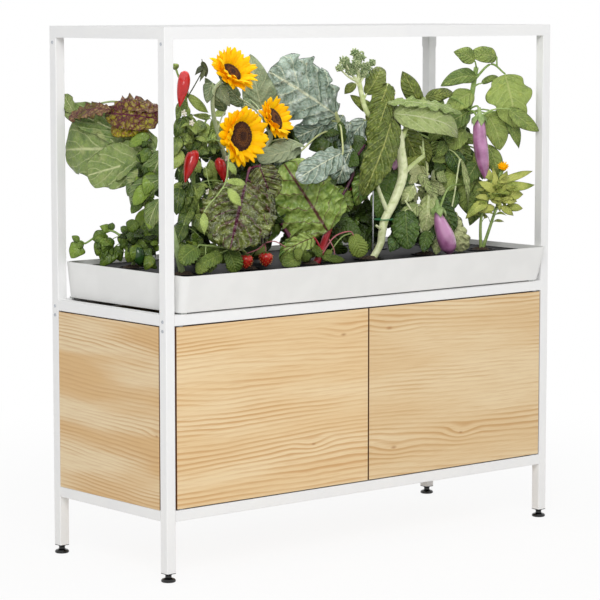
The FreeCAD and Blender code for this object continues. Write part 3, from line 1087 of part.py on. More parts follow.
keep("kale_plant", plant(
    "kale", (4, REAR_ROW),
    [(6, 0.9, [(214, 72, 505), (190, 60, 600), (140, 45, 680), (100, 34, 750), (82, 30, 780)])],
    [((80, 30, 780), (-35, 70, 855), 100, 13), ((70, 40, 760), (5, 70, 735), 30, 6),
     ((85, -22, 684), (-40, -38, 690), 56, 8), ((5, 40, 710), (-70, 40, 695), 25, 6),
     ((140, 40, 765), (100, 30, 680), 35, 7)]))
keep("leafy_greens", plant(
    "greens", (4, FRONT_ROW),
    [(5, 0.85, [(214, -77, 505), (212, -80, 570), (222, -76, 630)])],
    [((150, -90, 600), (140, -110, 535), 50, 7), ((236, -66, 625), (196, -80, 560), 35, 7),
     ((240, -70, 620), (272, -88, 562), 38, 6), ((285, -70, 590), (300, -90, 520), 40, 7),
     ((210, -75, 655), (225, -85, 620), 15, 4), ((195, -75, 645), (160, -70, 625), 20, 4)]))
keep("eggplant_plant", plant(
    "eggplant", (5, REAR_ROW),
    [(7, 0.9, [(357, 72, 505), (350, 40, 600), (345, -15, 700), (348, -50, 780), (352, -66, 860)])],
    [((335, -75, 870), (305, -60, 890), 30, 4), ((385, -85, 880), (335, -70, 885), 30, 6),
     ((350, -70, 845), (290, -50, 830), 30, 6), ((365, -70, 835), (395, -80, 845), 15, 4),
     ((400, -95, 845), (405, -130, 755), 75, 11), ((395, -130, 770), (432, -152, 740), 20, 6),
     ((395, -100, 770), (410, -120, 710), 15, 6), ((370, -75, 775), (390, -95, 710), 45, 7),
     ((350, -60, 810), (310, -40, 780), 35, 7), ((380, -70, 715), (400, -85, 655), 25, 6),
     ((340, -40, 705), (285, -20, 690), 35, 6), ((355, -45, 675), (330, -40, 600), 30, 7)],
    fruits=[((334, -92, 765), (344, -96, 666), 9, 12), ((204, -122, 590), (226, -126, 542), 8, 17),
            ((182, -30, 711), (170, -30, 685), 8, 14)]))
keep("marigold_plant", plant(
    "marigold", (5, FRONT_ROW),
    [(3.6, 0.85, [(357, -77, 505), (375, -90, 575), (384, -100, 620), (378, -104, 655)]),
     (3.4, 0.85, [(357, -77, 505), (348, -86, 575), (358, -94, 612)])],
    [((370, -110, 645), (432, -140, 665), 20, 4), ((375, -110, 640), (434, -140, 640), 20, 6),
     ((385, -105, 620), (415, -125, 625), 25, 4), ((395, -100, 595), (425, -120, 595), 15, 4),
     ((360, -95, 615), (335, -85, 620), 15, 4), ((350, -100, 610), (305, -95, 585), 20, 6),
     ((385, -95, 600), (365, -100, 675), 20, 6)],
    heads=[((383, -108, 670), (383, -112, 678), 9)]))

# A wire stake on the middle lid, with a clip ring round the thick stem beside it.
stake_wire = rod("stake_wire", "sizes.stake_radius", "sizes.stake_length", "97", "-60", LID_TOP)
clip_ring = doc.addObject("Part::Torus", "clip_ring")
clip_ring.setExpression("Radius1", "sizes.clip_radius")
clip_ring.setExpression("Radius2", "sizes.clip_wire")
place(clip_ring, "112", "-72", "587")
keep("plant_stake", fuse("stake", stake_wire, clip_ring))

doc.recompute()
for item in doc.Objects:
    if "Invalid" in item.State or "Error" in item.State:
        raise RuntimeError("%s could not be made" % item.Label)
os.makedirs("parts", exist_ok=True)
for name, item in nodes.items():
    shape = item.Shape
    if shape.isNull() or not shape.isValid() or not shape.Solids:
        raise RuntimeError("%s has no sound shape" % name)
    shape.exportStep(os.path.join("parts", name + ".step"))
    print(name, len(shape.Solids), round(shape.Volume), shape.BoundBox)
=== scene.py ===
import math

import bpy
import numpy as np
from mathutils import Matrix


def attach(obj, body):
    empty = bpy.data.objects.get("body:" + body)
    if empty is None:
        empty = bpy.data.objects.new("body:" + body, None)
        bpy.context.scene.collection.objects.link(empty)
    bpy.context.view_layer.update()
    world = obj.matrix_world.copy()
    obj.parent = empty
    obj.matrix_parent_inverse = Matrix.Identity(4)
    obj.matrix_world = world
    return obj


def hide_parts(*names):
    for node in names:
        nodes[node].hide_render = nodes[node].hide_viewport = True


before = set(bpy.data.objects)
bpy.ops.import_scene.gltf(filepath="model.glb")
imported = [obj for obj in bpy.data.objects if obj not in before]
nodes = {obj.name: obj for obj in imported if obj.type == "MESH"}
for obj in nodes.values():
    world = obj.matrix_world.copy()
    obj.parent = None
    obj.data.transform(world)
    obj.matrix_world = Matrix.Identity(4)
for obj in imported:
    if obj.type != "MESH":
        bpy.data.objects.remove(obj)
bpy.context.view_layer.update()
scene = bpy.context.scene

# Camera: a long lens from the left front corner, a little above the lamp hood, as one would
# photograph furniture. Its place was solved from the straight edges of the stand.
MM = 0.001
CAMERA_AT = (-3101.9 * MM, -3644.5 * MM, 980.1 * MM)
CAMERA_TURN = (83.55, 0.0, -40.14)
FILM_WIDTH = 36
LENS = 156.8
camera_data = bpy.data.cameras.new("camera")
camera_data.sensor_width = FILM_WIDTH
camera_data.lens = LENS
camera = bpy.data.objects.new("camera", camera_data)
camera.location = CAMERA_AT
camera.rotation_euler = [math.radians(angle) for angle in CAMERA_TURN]
scene.collection.objects.link(camera)
scene.camera = camera

# Stand: square steel tube, welded into ladders, then powder coated white in one oven pass.
# The coat is satin, rounds every edge a little and has a fine ripple, called orange peel.


def linear(code):
    """Turn an sRGB hex colour into the linear values that a shader wants."""
    channels = np.array([int(code[place:place + 2], 16) for place in (1, 3, 5)]) / 255
    low = channels / 12.92
    high = ((channels + 0.055) / 1.055) ** 2.4
    return (*np.where(channels <= 0.04045, low, high), 1.0)


def add(tree, kind, inputs, take=0, **settings):
    """Add one shader node and give one of its outputs.

    Inputs hold plain values, colours as hex text, or the sockets that feed them.
    """
    made = tree.nodes.new("ShaderNode" + kind)
    for name, value in settings.items():
        setattr(made, name, value)
    for name, value in inputs.items():
        if isinstance(value, bpy.types.NodeSocket):
            tree.links.new(value, made.inputs[name])
        else:
            made.inputs[name].default_value = linear(value) if isinstance(value, str) else value
    return made.outputs[take] if made.outputs else None


def new_material(name, **surface):
    """Start a material with one Principled shader and return the material, tree and shader."""
    made = bpy.data.materials.new(name)
    made.use_nodes = True
    shader = made.node_tree.nodes["Principled BSDF"]
    for socket, value in surface.items():
        shader.inputs[socket.replace("_", " ")].default_value = value
    return made, made.node_tree, shader


SMOOTH = {"interpolation_type": "SMOOTHSTEP"}
COLOURS = {"data_type": "RGBA", "take": 2}
TONE_PATCH = 60


def clouds(tree, grain, stretch=(1, 1, 1), detail=3.0):
    """Noise whose features are about one grain size across, in millimetres, before stretching."""
    place = add(tree, "TexCoord", {}, take="Object")
    scaled = add(tree, "Mapping", {"Vector": place, "Scale": [1 / (grain * MM * way) for way in stretch]})
    return add(tree, "TexNoise", {"Vector": scaled, "Scale": 1.0, "Detail": detail})


def finish_surface(tree, shader, colour, height, depth):
    """Give a shader its colour pattern and raise it by a height pattern, depth in millimetres."""
    tree.links.new(colour, shader.inputs["Base Color"])
    raised = add(tree, "Bump", {"Height": height, "Distance": depth * MM, "Strength": 1.0})
    tree.links.new(raised, shader.inputs["Normal"])


def coated(name, pale, shade, roughness, ripple, depth, **surface):
    """A satin coat or moulded skin: two close tones in soft clouds and a fine ripple."""
    made, tree, shader = new_material(name, Roughness=roughness, **surface)
    share = add(tree, "MapRange", {"Value": clouds(tree, TONE_PATCH, detail=2.0), "From Min": 0.35,
                                   "From Max": 0.65}, **SMOOTH)
    colour = add(tree, "Mix", {0: share, 6: shade, 7: pale}, **COLOURS)
    finish_surface(tree, shader, colour, clouds(tree, ripple), depth)
    return made


def wear(material, *names):
    """Give CAD nodes a material in place of the plain one they came with."""
    for name in names:
        nodes[name].data.materials.clear()
        nodes[name].data.materials.append(material)


powder_coat = coated("powder_coated_steel", "#F5F5F4", "#F3F3F3", 0.42, 1.6, 0.02)
tube_nodes = [name for name in nodes if name.startswith(("leg_", "post_", "bottom_", "mid_"))]
wear(powder_coat, *tube_nodes, "light_hood")

# Plugs and screws: nylon plugs inside the tubes, zinc plated button screws through them.
# Zinc plating is bright, slightly blue, with a faint cloudiness.
nylon = coated("grey_nylon", "#A3A5A8", "#989A9D", 0.5, 1.2, 0.02)
zinc = coated("zinc_plated_steel", "#D3D6DA", "#B9BDC2", 0.32, 2.5, 0.01, Metallic=1.0)
wear(nylon, "frame_plugs", "pivot_bushes")
wear(zinc, "frame_screws", "door_left_fittings", "door_right_fittings")

# Cabinet: panels of laser cut pine board under a clear satin lacquer. The grain is the board's
# rings, cut lengthways, so it runs level in bands that swell and pinch. The cut edges are painted
# one dark brown, for the laser's burn and as painted shade in the gaps, which draws a thin dark
# line round each panel.
RING = 7.0
SWAY_LENGTH = 150
QUIVER_LENGTH = 26
BAND_PATCH = 34
STREAK_PATCH = 70
FIBRE = 1.1
KNOT_STRETCH = 0.4
KNOT_SWELL = 0.9
KNOT_CORE = 0.13
KNOT_BROWN = "#B07A44"
EDGE_BURN_AND_SHADE_BROWN = "#70492C"


def pine(name, across, pale, band, streak, rings_at, tilt, knots):
    """Pine whose rings wrap a log lying along one level axis, with a few pin knots.

    The ring count at a point is its distance from the log's axis over the ring width, where the
    axis lies rings_at behind and above the panel. The distance climbs by tilt, wanders with slow
    noise and swells round each knot, given as its place along and up and its reach.
    """
    made, tree, shader = new_material(name, Roughness=0.44, IOR=1.5)
    place = add(tree, "TexCoord", {}, take="Object")
    along_axis = "X" if across == "Y" else "Y"
    along, depth, height = (add(tree, "SeparateXYZ", {0: place}, take=axis)
                            for axis in (along_axis, across, "Z"))
    long_way = (3.4, 3.4, 1)
    climb = add(tree, "Math", {0: along, 1: tilt, 2: height}, operation="MULTIPLY_ADD")
    sway = add(tree, "Math", {0: clouds(tree, SWAY_LENGTH, long_way, 1.0), 1: 0.05, 2: climb},
               operation="MULTIPLY_ADD")
    quiver = add(tree, "Math", {0: clouds(tree, QUIVER_LENGTH, long_way, 2.0), 1: 0.006, 2: sway},
                 operation="MULTIPLY_ADD")
    up = add(tree, "Math", {0: quiver, 1: rings_at[1] * MM}, operation="SUBTRACT")
    back = add(tree, "Math", {0: depth, 1: rings_at[0] * MM}, operation="SUBTRACT")
    square = add(tree, "Math", {0: back, 1: back}, operation="MULTIPLY")
    total = add(tree, "Math", {0: up, 1: up, 2: square}, operation="MULTIPLY_ADD")
    distance = add(tree, "Math", {0: total}, operation="SQRT")
    flatten = (KNOT_STRETCH, 0, 1) if across == "Y" else (0, KNOT_STRETCH, 1)
    flat = add(tree, "VectorMath", {0: place, 1: flatten}, operation="MULTIPLY")
    marks = []
    for knot_along, knot_up, reach in knots:
        middle = [KNOT_STRETCH * knot_along * MM, 0, knot_up * MM]
        if across == "X":
            middle[:2] = middle[1::-1]
        away = add(tree, "VectorMath", {0: flat, 1: middle}, take="Value", operation="DISTANCE")
        swell = add(tree, "MapRange", {"Value": away, "From Min": 0.0, "From Max": reach * MM,
                                       "To Min": KNOT_SWELL * RING * MM, "To Max": 0.0}, **SMOOTH)
        distance = add(tree, "Math", {0: distance, 1: swell}, operation="ADD")
        marks.append(add(tree, "MapRange", {"Value": away, "From Min": 0.0,
                                            "From Max": reach * KNOT_CORE * MM, "To Min": 0.75,
                                            "To Max": 0.0}, **SMOOTH))
    turns = add(tree, "Math", {0: distance, 1: RING * MM}, operation="DIVIDE")
    year = add(tree, "Math", {0: turns}, operation="FRACT")
    late = add(tree, "MapRange", {"Value": year, "From Min": 0.3, "From Max": 0.82}, **SMOOTH)
    fall = add(tree, "MapRange", {"Value": year, "From Min": 0.86, "From Max": 1.0, "To Min": 1.0,
                                  "To Max": 0.0}, **SMOOTH)
    line = add(tree, "Math", {0: late, 1: fall}, operation="MULTIPLY")
    strength = add(tree, "MapRange", {"Value": clouds(tree, BAND_PATCH, (9, 9, 1), 2.0),
                                      "From Min": 0.34, "From Max": 0.68, "To Min": 0.1,
                                      "To Max": 0.85}, **SMOOTH)
    share = add(tree, "Math", {0: line, 1: strength}, operation="MULTIPLY")
    broad = add(tree, "MapRange", {"Value": clouds(tree, STREAK_PATCH, (7, 7, 1), 2.0),
                                   "From Min": 0.4, "From Max": 0.62}, **SMOOTH)
    ground = add(tree, "Mix", {0: broad, 6: pale, 7: streak}, **COLOURS)
    wood = add(tree, "Mix", {0: share, 6: ground, 7: band}, **COLOURS)
    fibre = clouds(tree, FIBRE, (40, 40, 1), 2.0)
    thread = add(tree, "MapRange", {"Value": fibre, "From Min": 0.45, "From Max": 0.75, "To Max": 0.3},
                 **SMOOTH)
    wood = add(tree, "Mix", {0: thread, 6: wood, 7: band}, **COLOURS)
    for mark in marks:
        wood = add(tree, "Mix", {0: mark, 6: wood, 7: KNOT_BROWN}, **COLOURS)
    # Faces turned off the board's flat sides take the edge brown: the burn, and painted shade for the gaps.
    facing = add(tree, "TexCoord", {}, take="Normal")
    flatness = add(tree, "Math", {0: add(tree, "SeparateXYZ", {0: facing}, take=across)},
                   operation="ABSOLUTE")
    cut_edge = add(tree, "MapRange", {"Value": flatness, "From Min": 0.5, "From Max": 0.9,
                                      "To Min": 1.0, "To Max": 0.0}, **SMOOTH)
    burnt_and_shaded = add(tree, "Mix", {0: cut_edge, 6: wood, 7: EDGE_BURN_AND_SHADE_BROWN}, **COLOURS)
    finish_surface(tree, shader, burnt_and_shaded, fibre, 0.05)
    return made


pine_left = pine("lacquered_pine_left_door", "Y", "#F0D7AB", "#CE9C60", "#EACB9A", (190, -180), 0.02,
                 [(-60, 395, 30), (-130, 205, 24)])
pine_right = pine("lacquered_pine_right_door", "Y", "#EBD3A9", "#C99B60", "#E3C596", (150, -120), 0.035,
                  [(50, 398, 36), (62, 178, 32), (230, 188, 24)])
pine_sides = pine("lacquered_pine_side", "X", "#ECD6AE", "#CA9C64", "#DDB780", (-520, -60), -0.02,
                  [(-130, 250, 20)])
pine_back = pine("lacquered_pine_back", "Y", "#E8D3AC", "#D0AB76", "#DEC294", (60, -150), 0.02, [])
pine_floor = pine("lacquered_pine_floor", "Z", "#E2CAA2", "#CDA873", "#D8BA88", (60, 250), 0.03, [])
wear(pine_left, "door_left")
wear(pine_right, "door_right")
wear(pine_sides, "side_panel_left", "side_panel_right")
wear(pine_back, "back_panel")
wear(pine_floor, "cabinet_floor")

# Small black mouldings: latch bodies, leg caps, pump and fittings in nylon, which has a soft grey
# sheen and a very fine texture, plungers and levelling feet in glossy acetal.
black_nylon = coated("black_nylon", "#1B1B1C", "#151516", 0.42, 0.9, 0.02)
black_gloss = coated("glossy_black_acetal", "#0E0E0F", "#0A0A0B", 0.12, 3.0, 0.008)
wear(black_nylon, "latch_bodies", "foot_caps", "cable_gland", "pump", "tray_fittings")
wear(black_gloss, "latch_plunger_left", "latch_plunger_right",
     *[name for name in nodes if name.startswith("foot_") and name != "foot_caps"])

# Tray: one deep drawn tub of white ABS, satin outside. Lids: black polystyrene, dull and a little
# uneven, so that soft light only greys them in places. Cups: black polypropylene.
white_abs = coated("white_abs", "#F0F0EE", "#ECECEA", 0.36, 2.2, 0.015)
clear_silicone = coated("clear_silicone", "#DDE0DD", "#D2D6D2", 0.3, 1.5, 0.01)
black_lid = coated("black_polystyrene", "#29292A", "#171718", 0.5, 14.0, 0.3,
                   Specular_IOR_Level=0.02)
cup_black = coated("black_polypropylene", "#151516", "#0F0F10", 0.5, 1.2, 0.02,
                   Specular_IOR_Level=0.05)
wear(white_abs, "grow_tray", "control_box")
wear(clear_silicone, "tray_rests", "water_pipes")
wear(black_lid, "tray_lids")
wear(cup_black, "net_cups")

# Tank: it stands on the cabinet floor with its lid and filling flap, rotation moulded in charcoal
# polyethylene with a dry, pebbled skin.
charcoal_tank = coated("charcoal_polyethylene", "#2B2D2F", "#232527", 0.55, 0.8, 0.05)
wear(charcoal_tank, "reservoir_tank", "reservoir_lid", "fill_flap")

# Lamp: a white solder masked board carries pale yellow diodes behind a clear acrylic sheet.
solder_mask = coated("white_solder_mask", "#F2F2EE", "#EDEDE8", 0.3, 1.0, 0.01)
acrylic = coated("clear_acrylic", "#FAFCFD", "#F4F7F9", 0.06, 30, 0.01, IOR=1.49,
                 Transmission_Weight=0.9)
wear(solder_mask, "light_board")
wear(acrylic, "light_diffuser")

# Plants: thirteen kinds, each growing from its net cup. Leaves, stems and fruit are thin closed
# skins worked out as grids; places are in millimetres, in the part's frame. Leaves face the light
# unless told otherwise. Rings of steep skins start from the level way, of level ones from the steep.
SUNWARD = (-0.63, -0.75, 0.2)
LEVEL_WAY = np.array((0.83, -0.55, 0.12))
STEEP_WAY = np.array((0.1, 0.2, 0.97))
TURN = 2 * math.pi
GOLDEN = TURN * 0.381966
LID_TOP = 516.3
GROW_LOW = (-430, -158, 521)
GROW_HIGH = (430, 160, 905)
SHORTEST_LEAF = 8
dice = np.random.default_rng(41)


def ring_faces(rows, ring):
    """Faces of a closed tube of rows, each a ring of points, with a fan over either end."""
    row, place = np.meshgrid(np.arange(rows - 1), np.arange(ring), indexing="ij")
    after = (place + 1) % ring
    walls = np.stack([row * ring + place, row * ring + after, (row + 1) * ring + after,
                      (row + 1) * ring + place], axis=-1).reshape(-1, 4)
    around = np.arange(ring)
    last = (rows - 1) * ring
    first_fan = np.stack([(around + 1) % ring, around, np.full(ring, rows * ring)], axis=-1)
    last_fan = np.stack([last + around, last + (around + 1) % ring, np.full(ring, rows * ring + 1)],
                        axis=-1)
    return walls, np.concatenate([first_fan, last_fan])


def skin(points, marks):
    """Close a grid of rings into one skin: points in mm, marks along, across, tone, underside."""
    rows, ring = points.shape[:2]
    walls, fans = ring_faces(rows, ring)
    places = np.concatenate([points.reshape(-1, 3), points[0].mean(0)[None], points[-1].mean(0)[None]])
    signs = np.concatenate([marks.reshape(-1, 4), marks[0].mean(0)[None], marks[-1].mean(0)[None]])
    return places, signs, walls, fans


def make_piece(name, node, skins, material):
    """Make one object from closed skins. It stands for a CAD node and stays on the frame."""
    firsts = np.cumsum([0] + [len(each[0]) for each in skins])
    places = np.concatenate([each[0] for each in skins]) * MM
    signs = np.concatenate([each[1] for each in skins])
    quads, fans = (np.concatenate([each[part] + first for each, first in zip(skins, firsts)])
                   for part in (2, 3))
    mesh = bpy.data.meshes.new(name)
    mesh.vertices.add(len(places))
    mesh.vertices.foreach_set("co", places.astype(np.float32).ravel())
    mesh.loops.add(quads.size + fans.size)
    mesh.loops.foreach_set("vertex_index", np.concatenate([quads.ravel(), fans.ravel()]))
    starts = np.concatenate([np.arange(len(quads)) * 4, quads.size + np.arange(len(fans)) * 3])
    mesh.polygons.add(len(starts))
    mesh.polygons.foreach_set("loop_start", starts)
    mesh.polygons.foreach_set("use_smooth", np.ones(len(starts), bool))
    mesh.update(calc_edges=True)
    layer = mesh.attributes.new("leaf", "FLOAT_COLOR", "POINT")
    layer.data.foreach_set("color", signs.astype(np.float32).ravel())
    mesh.materials.append(material)
    made = bpy.data.objects.new(name, mesh)
    scene.collection.objects.link(made)
    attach(made, "frame")
    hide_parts(node)


# Leaf kinds: how far along the widest place lies and how full either end is, teeth or lobes per
# side with their depth, waves along the margin and their height, fold, cup and thickness.
PLAIN = dict(lobes=0, depth=0, saw=False, blisters=0, thick=0)
KINDS = {
    "lance": dict(near=0.75, far=1.15, waves=1.5, height=0.08, fold=0.3, cup=-0.15),
    "oval": dict(near=0.55, far=0.8, waves=2.0, height=0.12, fold=0.2, cup=-0.3),
    "heart": dict(near=0.34, far=0.85, waves=2.5, height=0.12, fold=0.15, cup=-0.3),
    "cabbage": dict(near=0.42, far=0.36, lobes=3.4, depth=0.13, waves=4.0, height=0.18, fold=0.1,
                    cup=-0.14, blisters=0.6),
    "chard": dict(near=0.3, far=0.46, lobes=5.5, depth=0.08, waves=6.5, height=0.26, fold=0.1,
                  cup=-0.25, blisters=2.0),
    "kale": dict(near=0.45, far=0.34, lobes=4.4, depth=0.2, waves=6.0, height=0.34, fold=0.05,
                 cup=-0.16, blisters=1.2),
    "toothed": dict(near=0.45, far=0.42, lobes=8.0, depth=0.17, saw=True, waves=1.5, height=0.06,
                    fold=0.24, cup=-0.2),
    "lobed": dict(near=0.36, far=0.58, lobes=2.6, depth=0.22, waves=3.0, height=0.12, fold=0.1,
                  cup=-0.24),
    "petal": dict(near=0.5, far=0.7, waves=1.0, height=0.1, fold=-0.25, cup=-0.3, thick=0.5),
}
LEAF_STEP = 2.2
HALF_STEP = 2.4


def leaf(base, tip, wide, rise, kind="oval", tone=None, bend=None, facing=SUNWARD):
    """One leaf as a thin closed skin from base to tip.

    Along the leaf, the half width grows as a power of the distance from the base and shrinks as a
    power of the distance to the tip. Lobes or teeth cut into it as waves. Height over the chord is
    an arch, a fold that rises with the distance from the midrib, a cup, and margin waves that grow
    with the cube of that distance.
    """
    shape = {**PLAIN, **KINDS[kind]}
    near, far, lobes, depth = (shape[part] for part in ("near", "far", "lobes", "depth"))
    base = np.array(base, float)
    span = np.array(tip, float) - base
    length = np.linalg.norm(span)
    size = max(length, wide)
    rows = int(np.clip(max(size / LEAF_STEP, 6 * lobes), 14, 64))
    across = int(np.clip(wide / HALF_STEP, 7, 31)) | 1
    along = np.linspace(0, 1, rows)[:, None]
    half = np.linspace(-1, 1, across)
    ring = np.concatenate([half, half[-2:0:-1]])
    under = np.concatenate([np.zeros(across), np.ones(across - 2)])
    top = np.where(under > 0, -1.0, 1.0)
    side = ring[None, :]
    phase = dice.uniform(0, TURN, 6)
    peak = near / (near + far)
    fullest = peak ** near * (1 - peak) ** far
    outline = np.clip(along, 0.002, 1) ** near * np.clip(1 - along, 0.002, 1) ** far / fullest
    turn = along * lobes * TURN + phase[0] + np.where(side > 0, phase[1], 0)
    tooth = (turn / TURN) % 1 if shape["saw"] else 0.5 - 0.5 * np.cos(turn)
    uneven = 1 + 0.07 * np.sin(along * 7 + phase[1]) + 0.1 * side * math.cos(phase[3])
    width = wide / 2 * outline * uneven * (1 - depth * tooth * side ** 2 * (along > 0.04))
    sweep = depth * 0.35 * length / max(lobes, 1) * np.sin(turn) * np.abs(side) ** 2
    bend = dice.uniform(-0.07, 0.07) if bend is None else bend
    sideways = bend * length * 4 * along * (1 - along)
    waves = np.sin(along * shape["waves"] * TURN + phase[2] + np.where(side > 0, phase[3], 0))
    quick = np.sin(along * shape["waves"] * 2.3 * TURN + phase[4] + side * 2)
    flutter = shape["height"] * wide * outline * (0.75 * waves + 0.25 * quick) * np.abs(side) ** 3 * 0.5
    blisters = shape["blisters"] * 0.018 * wide * outline * (
        np.sin(along * 34 + phase[5]) * np.sin(side * 9 + along * 7)
        + 0.6 * np.sin(along * 55 + side * 21))
    twist = dice.normal(0, 0.3) * (along - 0.5) * width * side
    curl = dice.uniform(-0.9, 0.25) * size * np.clip(along - 0.55, 0, 1) ** 2
    lift = (rise * 4 * along * (1 - along) + twist + curl + shape["fold"] * width * np.abs(side) * 0.8
            + shape["cup"] * width * side ** 2 * 0.8 + flutter + blisters * (1 - side ** 6))
    rib = 0.035 * wide * np.exp(-(side / 0.07) ** 2) * (1 - along) * (top < 0)
    thick = shape["thick"] or 0.55 + 0.004 * size
    lift = lift + top * thick / 2 * (1 - 0.6 * side ** 4) * np.clip(outline * 4, 0.2, 1) - rib * outline
    forward = span / length
    facing = np.array(facing, float)
    upright = facing - forward * facing.dot(forward)
    upright = upright / np.linalg.norm(upright)
    crosswise = np.cross(upright, forward)
    reach = along * length + sweep * (along * (1 - along) * 4)
    points = (base + reach[..., None] * forward + (side * width + sideways)[..., None] * crosswise
              + lift[..., None] * upright)
    tone = dice.uniform(0, 1) if tone is None else tone
    marks = np.stack(np.broadcast_arrays(along, side / 2 + 0.5, tone, under[None, :]), axis=-1)
    return skin(points, marks)


def smooth_path(points, count):
    """A soft path through points, each given as x, y, z and any further values such as radius."""
    points = np.array(points, float)
    ends = np.concatenate([[2 * points[0] - points[1]], points, [2 * points[-1] - points[-2]]])
    place = np.linspace(0, len(points) - 1, count)
    step = np.minimum(place.astype(int), len(points) - 2)
    share = (place - step)[:, None]
    before, start, end, after = (ends[step + offset] for offset in range(4))
    return 0.5 * (2 * start + (end - before) * share
                  + (2 * before - 5 * start + 4 * end - after) * share ** 2
                  + (3 * start - before - 3 * end + after) * share ** 3)


def hoops(middles, radii, aside, upright, around, along, tone):
    """Rings of points round a path, in the plane of two directions, closed into one skin."""
    angle = np.linspace(0, TURN, around, endpoint=False)[None, :, None]
    ring = middles[:, None] + radii[:, None, None] * (np.cos(angle) * aside + np.sin(angle) * upright)
    tone = dice.uniform(0, 1) if tone is None else tone
    marks = np.stack(np.broadcast_arrays(along[:, None], angle[..., 0] / TURN, tone, 0.0), axis=-1)
    return skin(ring, marks)


def tube(points, around=10, step=5.0, tone=None):
    """A stem, fruit or wire: rings of the given radii along a soft path of x, y, z, radius."""
    rough = np.array(points, float)
    length = np.linalg.norm(np.diff(rough[:, :3], axis=0), axis=1).sum()
    path = smooth_path(points, int(np.clip(length / step, 2 * len(points), 160)))
    forward = np.gradient(path[:, :3], axis=0)
    forward /= np.linalg.norm(forward, axis=1, keepdims=True)
    aside = np.cross(forward, LEVEL_WAY if abs(forward[:, 2]).mean() > 0.3 else STEEP_WAY)
    aside /= np.linalg.norm(aside, axis=1, keepdims=True)
    upright = np.cross(forward, aside)
    return hoops(path[:, :3], np.maximum(path[:, 3], 0.15), aside[:, None], upright[:, None], around,
                 np.linspace(0, 1, len(path)), tone)


def bead(middle, radius, tall=1.0, toward=(0, 0, 1), tone=None):
    """A small ball or bud of five rings of six points."""
    toward = np.array(toward, float) / np.linalg.norm(toward)
    steps = np.array([-0.98, -0.6, 0.1, 0.7, 0.98])
    aside = np.cross(toward, LEVEL_WAY)
    aside /= np.linalg.norm(aside)
    return hoops(np.array(middle) + toward * radius * tall * steps[:, None],
                 radius * np.sqrt(1 - steps ** 2) + 0.1, aside, np.cross(toward, aside), 6,
                 steps / 2 + 0.5, tone)


def stems_of(table):
    """Stems with the radii easing along each path, and each bend for leaf stalks to start at."""
    skins = []
    bends = []
    for radius, taper, points in table:
        radii = radius * taper ** np.arange(len(points))
        skins.append(tube([(*point, each) for point, each in zip(points, radii)]))
        fine = smooth_path([(*point, 0) for point in points], 12 * len(points))[:, :3]
        bends.append(fine[4:])
    return skins, np.concatenate(bends)


def stalks_to(bends, leaves, radius=1.1):
    """Thin arched stalks from the nearest place on a stem to the base of each leaf."""
    skins = []
    for base, tip, *_ in leaves:
        base = np.array(base, float)
        nearest = bends[np.argmin(np.linalg.norm(bends - base + (0, 0, 14), axis=1))]
        if np.linalg.norm(base - nearest) > 2:
            middle = (nearest + base) / 2 + (0, 0, 0.12 * np.linalg.norm(base - nearest))
            inward = base + 0.12 * (np.array(tip) - base)
            skins.append(tube([(*nearest, radius * 1.25), (*middle, radius), (*base, radius * 0.9),
                               (*inward, radius * 0.5)], around=6, step=6))
    return skins


def leaves_of(table):
    """Leaves from rows of base, tip, width, rise, then kind, tone, bend and facing as needed."""
    return [leaf(*row) for row in table]


def grow(plant, node, stems_and_bends, leaves, leaf_material, stem_material, stalk, stalked=None,
         hangers=()):
    """Make a plant's leaves, then its stems with leaf stalks and the thin stems fruit hangs from.

    Every leaf gets a stalk, or only those in stalked where that is given.
    """
    stems, bends = stems_and_bends
    make_piece(plant + "_leaves", node, leaves_of(leaves), leaf_material)
    stalks = stalks_to(bends, stalked or leaves, stalk)
    make_piece(plant + "_stems", node, stems + stalks + [tube(path, around=8) for path in hangers],
               stem_material)


def shoots(path, count, length, wide, rise, kind, droop=0.35):
    """Rows for leaves that leave a stem in turn by the golden angle and droop outward."""
    fine = smooth_path([(*point, 0) for point in path], count)[:, :3]
    rows = []
    for index, base in enumerate(fine):
        angle = GOLDEN * index + dice.uniform(-0.3, 0.3)
        out = np.array((math.cos(angle), math.sin(angle), dice.uniform(-droop, 0.25)))
        reach = length * dice.uniform(0.7, 1.15)
        rows.append((base + out * reach * 0.25, base + out * reach * 1.125, wide * reach / length,
                     rise, kind, None, None, (-0.4 + 0.5 * out[0], -0.5 + 0.5 * out[1], 0.6)))
    return rows


def thicket(middle, reach, count, length, wide, kinds=("oval",), hang=0.5):
    """Rows for leaves scattered through an egg shaped space, pointing outward and hanging."""
    rows = []
    for index in range(count):
        out = dice.normal(size=3)
        out /= np.linalg.norm(out)
        place = np.array(middle) + out * np.array(reach) * dice.uniform(0.25, 1.0)
        way = 0.55 * out + dice.normal(0, 0.35, 3) - (0, 0, hang)
        way /= np.linalg.norm(way)
        size = length * dice.uniform(0.6, 1.15)
        ends = [np.clip(place + way * size * share, GROW_LOW, GROW_HIGH) for share in (-0.5, 0.5)]
        if np.linalg.norm(ends[1] - ends[0]) > SHORTEST_LEAF:
            rows.append((*ends, wide * size / length * dice.uniform(0.85, 1.2),
                         size * dice.uniform(-0.05, 0.16), kinds[index % len(kinds)], None, None,
                         np.array(SUNWARD) + dice.normal(0, 0.4, 3)))
    return rows


SHADE_PATCH = 18
STAIN_PATCH = 24
VEIN_WANDER = 14
PUCKER = 6.5


